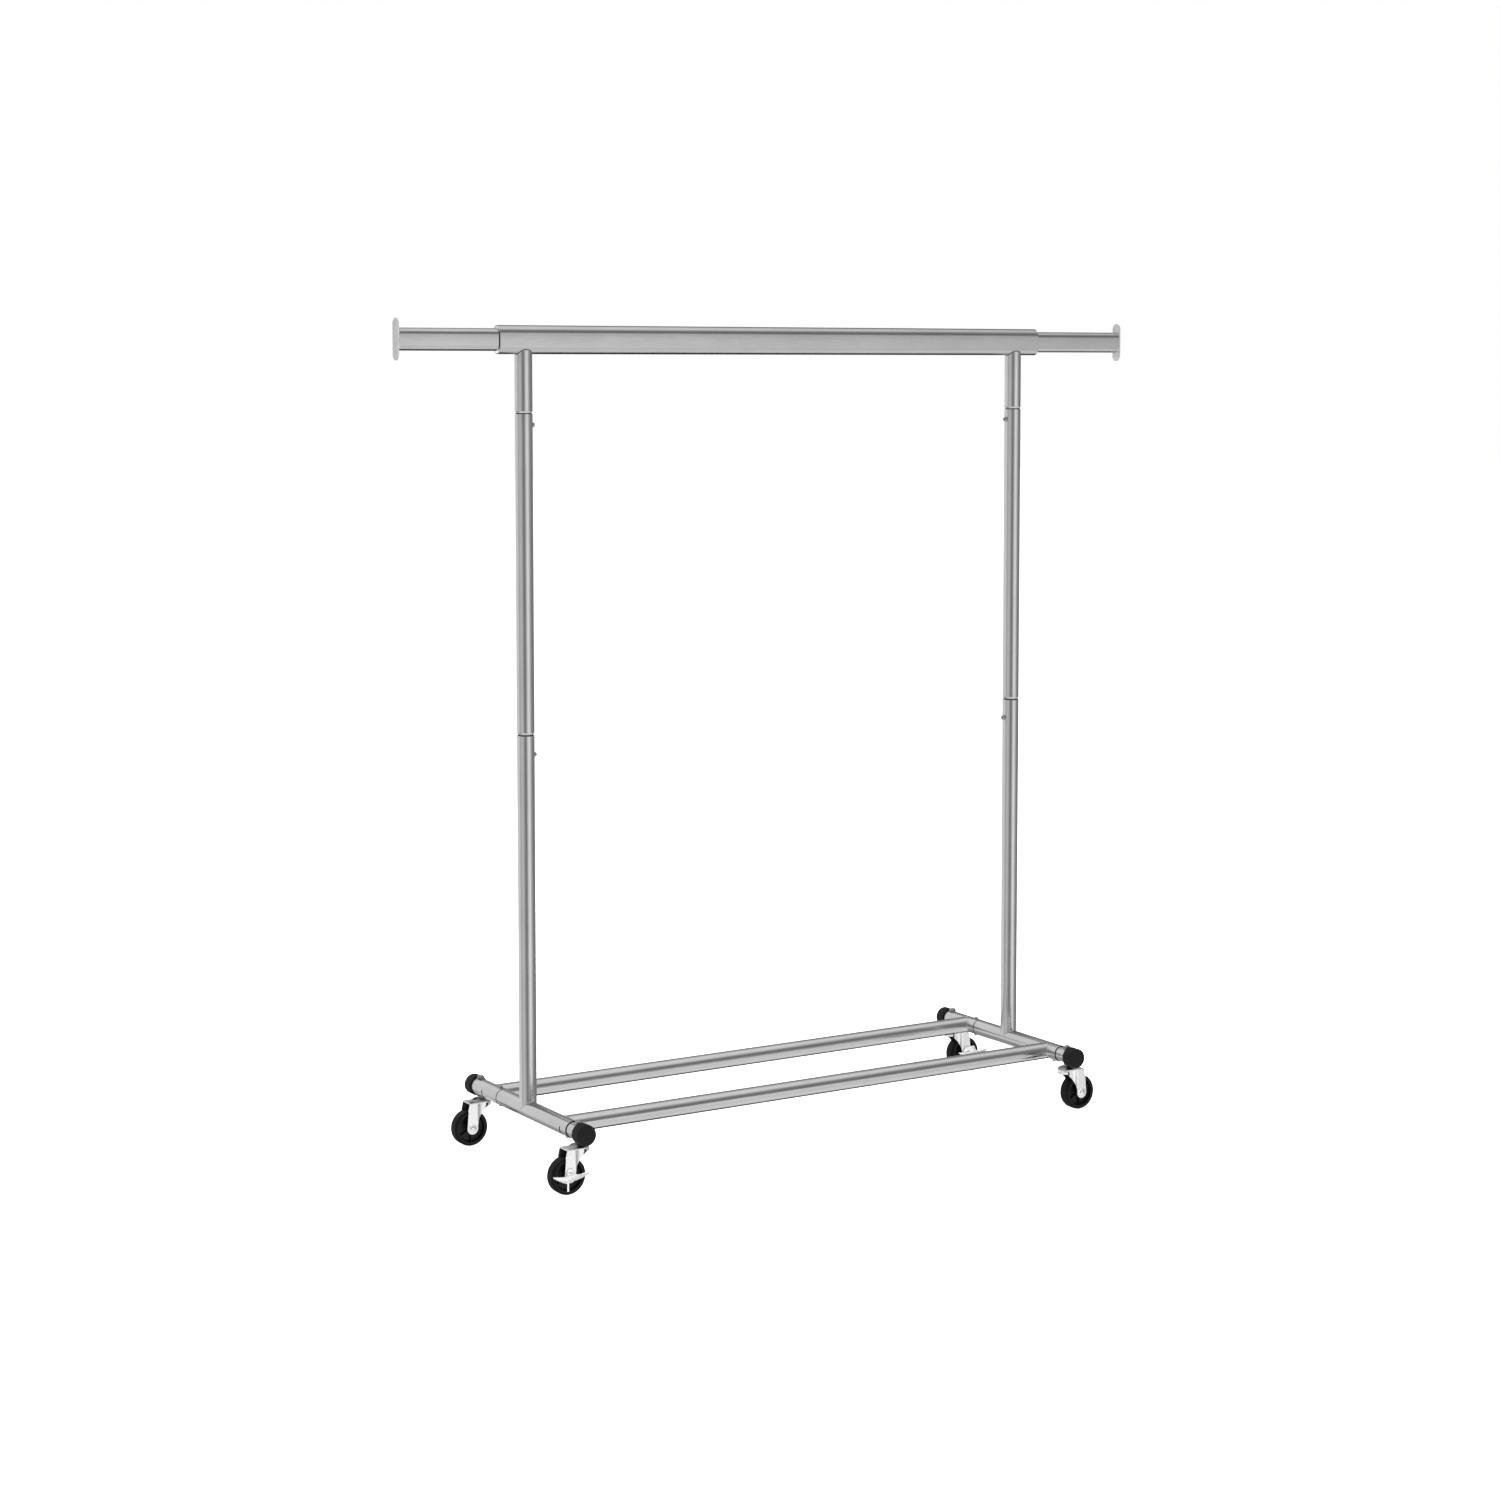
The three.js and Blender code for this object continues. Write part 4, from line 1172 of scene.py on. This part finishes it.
def studio():
    """White for the camera; for reflections a studio with soft pale and dark panels. The panels are set
    by direction: around, from straight behind by way of the left, the camera and the right, and up."""
    world = bpy.data.worlds.new("studio")
    bpy.context.scene.world = world
    world.use_nodes = True
    t = Tree(world.node_tree)
    t.tree.nodes.clear()

    def product(a, b):
        node = t.add("ShaderNodeMath", operation="MULTIPLY")
        t.join(a, node.inputs[0])
        t.join(b, node.inputs[1])
        return node.outputs["Value"]

    def mixed(share, a, b):
        node = t.add("ShaderNodeMix", data_type="RGBA")
        for socket, value in ((node.inputs["Factor"], share), (node.inputs[6], a), (node.inputs[7], b)):
            if hasattr(value, "is_linked"):
                t.join(value, socket)
            else:
                socket.default_value = value
        return node.outputs[2]

    source = t.add("ShaderNodeTexCoord")
    turn = t.add("ShaderNodeVectorRotate", rotation_type="Z_AXIS")
    turn.inputs["Angle"].default_value = math.radians(122)
    t.join(source.outputs["Generated"], turn.inputs["Vector"])
    parts = t.add("ShaderNodeSeparateXYZ")
    t.join(turn.outputs["Vector"], parts.inputs["Vector"])
    angle = t.add("ShaderNodeMath", operation="ARCTAN2")
    t.join(parts.outputs["Y"], angle.inputs[0])
    t.join(parts.outputs["X"], angle.inputs[1])
    around = t.span(angle.outputs["Value"], 0, 1, -math.pi, math.pi)
    height = t.span(parts.outputs["Z"], 0, 1, -1, 1)

    def by_angle(*stops):
        """Greys at directions around, in degrees."""
        return t.ramp(around, [((a + 180) / 360, grey) for a, grey in stops])

    def by_height(*stops):
        """Greys at heights, from -1 straight down to 1 straight up."""
        return t.ramp(height, [((a + 1) / 2, grey) for a, grey in stops])

    level = by_angle(
        (-180, 0.3), (-158, 0.8), (-116, 0.7), (-92, 0.8), (-74, 0.42), (-46, 0.62),
        (-28, 0.52), (-6, 0.22), (6, 0.18), (18, 0.36), (34, 0.8), (47, 0.95),
        (64, 0.76), (78, 0.42), (95, 0.26), (135, 0.2), (180, 0.2),
    )  # fmt: skip
    above = by_height(
        (0.0, 0.6), (0.11, 0.3), (0.2, 0.2), (0.5, 0.19), (0.64, 0.3), (0.76, 0.6), (0.84, 0.85), (1, 0.7),
    )  # fmt: skip
    below = by_height((-1, 0.78), (-0.83, 0.78), (-0.58, 0.72), (-0.3, 0.6))
    right_share = by_angle((-180, 1), (-164, 0.5), (-150, 0), (-92, 0), (-62, 1))
    up_share = product(by_height((0.02, 0), (0.15, 1)), right_share)
    down_share = by_height((-0.5, 1), (-0.3, 0))
    colour = mixed(up_share, level, above)
    colour = mixed(down_share, colour, mixed(right_share, (0.3, 0.3, 0.3, 1), below))
    back = by_angle((-180, 1.0), (-172, 0.0), (128, 0.0), (146, 1.0))
    low_back = by_height((-1, 1), (-0.52, 1), (-0.4, 0))
    colour = mixed(product(back, low_back), colour, (0.025, 0.025, 0.025, 1))

    path = t.add("ShaderNodeLightPath")
    colour = mixed(path.outputs["Is Camera Ray"], colour, WHITE)
    shader = t.add("ShaderNodeBackground")
    t.join(colour, shader.inputs["Color"])
    output = t.add("ShaderNodeOutputWorld")
    t.join(shader.outputs["Background"], output.inputs["Surface"])


def softbox(name, place, target, width, height, power):
    """A large soft lamp that isn't seen in reflections."""
    light = bpy.data.lights.new(name, "AREA")
    light.shape = "RECTANGLE"
    light.size, light.size_y, light.energy = width, height, power
    lamp = bpy.data.objects.new(name, light)
    lamp.location = place
    lamp.rotation_euler = (Vector(target) - Vector(place)).to_track_quat("-Z", "Y").to_euler()
    lamp.visible_glossy = False
    lamp.visible_camera = False
    bpy.context.scene.collection.objects.link(lamp)


def lights():
    softbox("key_front", (-1.0, -4.4, 1.1), (0, 0, 0.4), 3.0, 1.6, 300)
    softbox("fill_left", (-4.2, 0.6, 1.4), (0, 0, 0.4), 2.4, 1.6, 45)
    softbox("fill_right", (4.2, -0.6, 1.4), (0, 0, 0.4), 2.4, 1.6, 45)
    softbox("top", (0, 0.3, 4.2), (0, 0, 0), 3.5, 2.5, 50)
    softbox("back", (0.6, 4.0, 1.6), (0, 0, 0.4), 3.0, 1.6, 60)


def camera():
    """The photograph's place and angle, from the object's proportions in it."""
    yaw, pitch = 0.5575, 0.0801
    data = bpy.data.cameras.new("camera")
    data.sensor_width = 36
    data.lens = 70.43
    data.shift_x = -0.0079
    data.shift_y = -0.10
    data.clip_end = 100
    eye = bpy.data.objects.new("camera", data)
    eye.location = (-3.1006, -4.9028, 1.527)
    eye.rotation_euler = Euler((math.pi / 2 - pitch, 0, -yaw), "XYZ")
    bpy.context.scene.collection.objects.link(eye)
    bpy.context.scene.camera = eye
    bpy.context.scene.view_settings.view_transform = "Standard"


# ---- The rack -----------------------------------------------------------------------------------

camera()
studio()
lights()
floor()

hanging_bar()
for rail_place in ("front", "rear"):
    base_rail(rail_place)
for hand, side in HANDS:
    side_tube(hand, side)
    rear_sleeve(hand, side)
    front_stub(hand)
    end_cap(hand, "front", -1)
    end_cap(hand, "rear", 1)
    lower_upright(hand)
    upper_upright(hand)
    bar_stub(hand)
    for bolt_level in ("lower", "upper"):
        upright_bolt(hand, side, bolt_level)
    for bolt_kind in ("sleeve", "stop"):
        base_bolt(hand, bolt_kind)
    bar_bush(hand, side)
    extension(hand, side)

PEDAL_SHIFTS = {"front_left": 0.0, "rear_right": 14 * MM}
for caster_name in ("front_left", "front_right", "rear_left", "rear_right"):
    one = Caster(caster_name, -1 if caster_name.endswith("left") else 1)
    has_pedal = caster_name in PEDAL_SHIFTS
    fork(one)
    axle(one, has_pedal)
    wheel(one)
    swivel_race(one)
    stem(one)
    stem_nut(one)
    if has_pedal:
        brake_pedal(one, PEDAL_SHIFTS[caster_name])
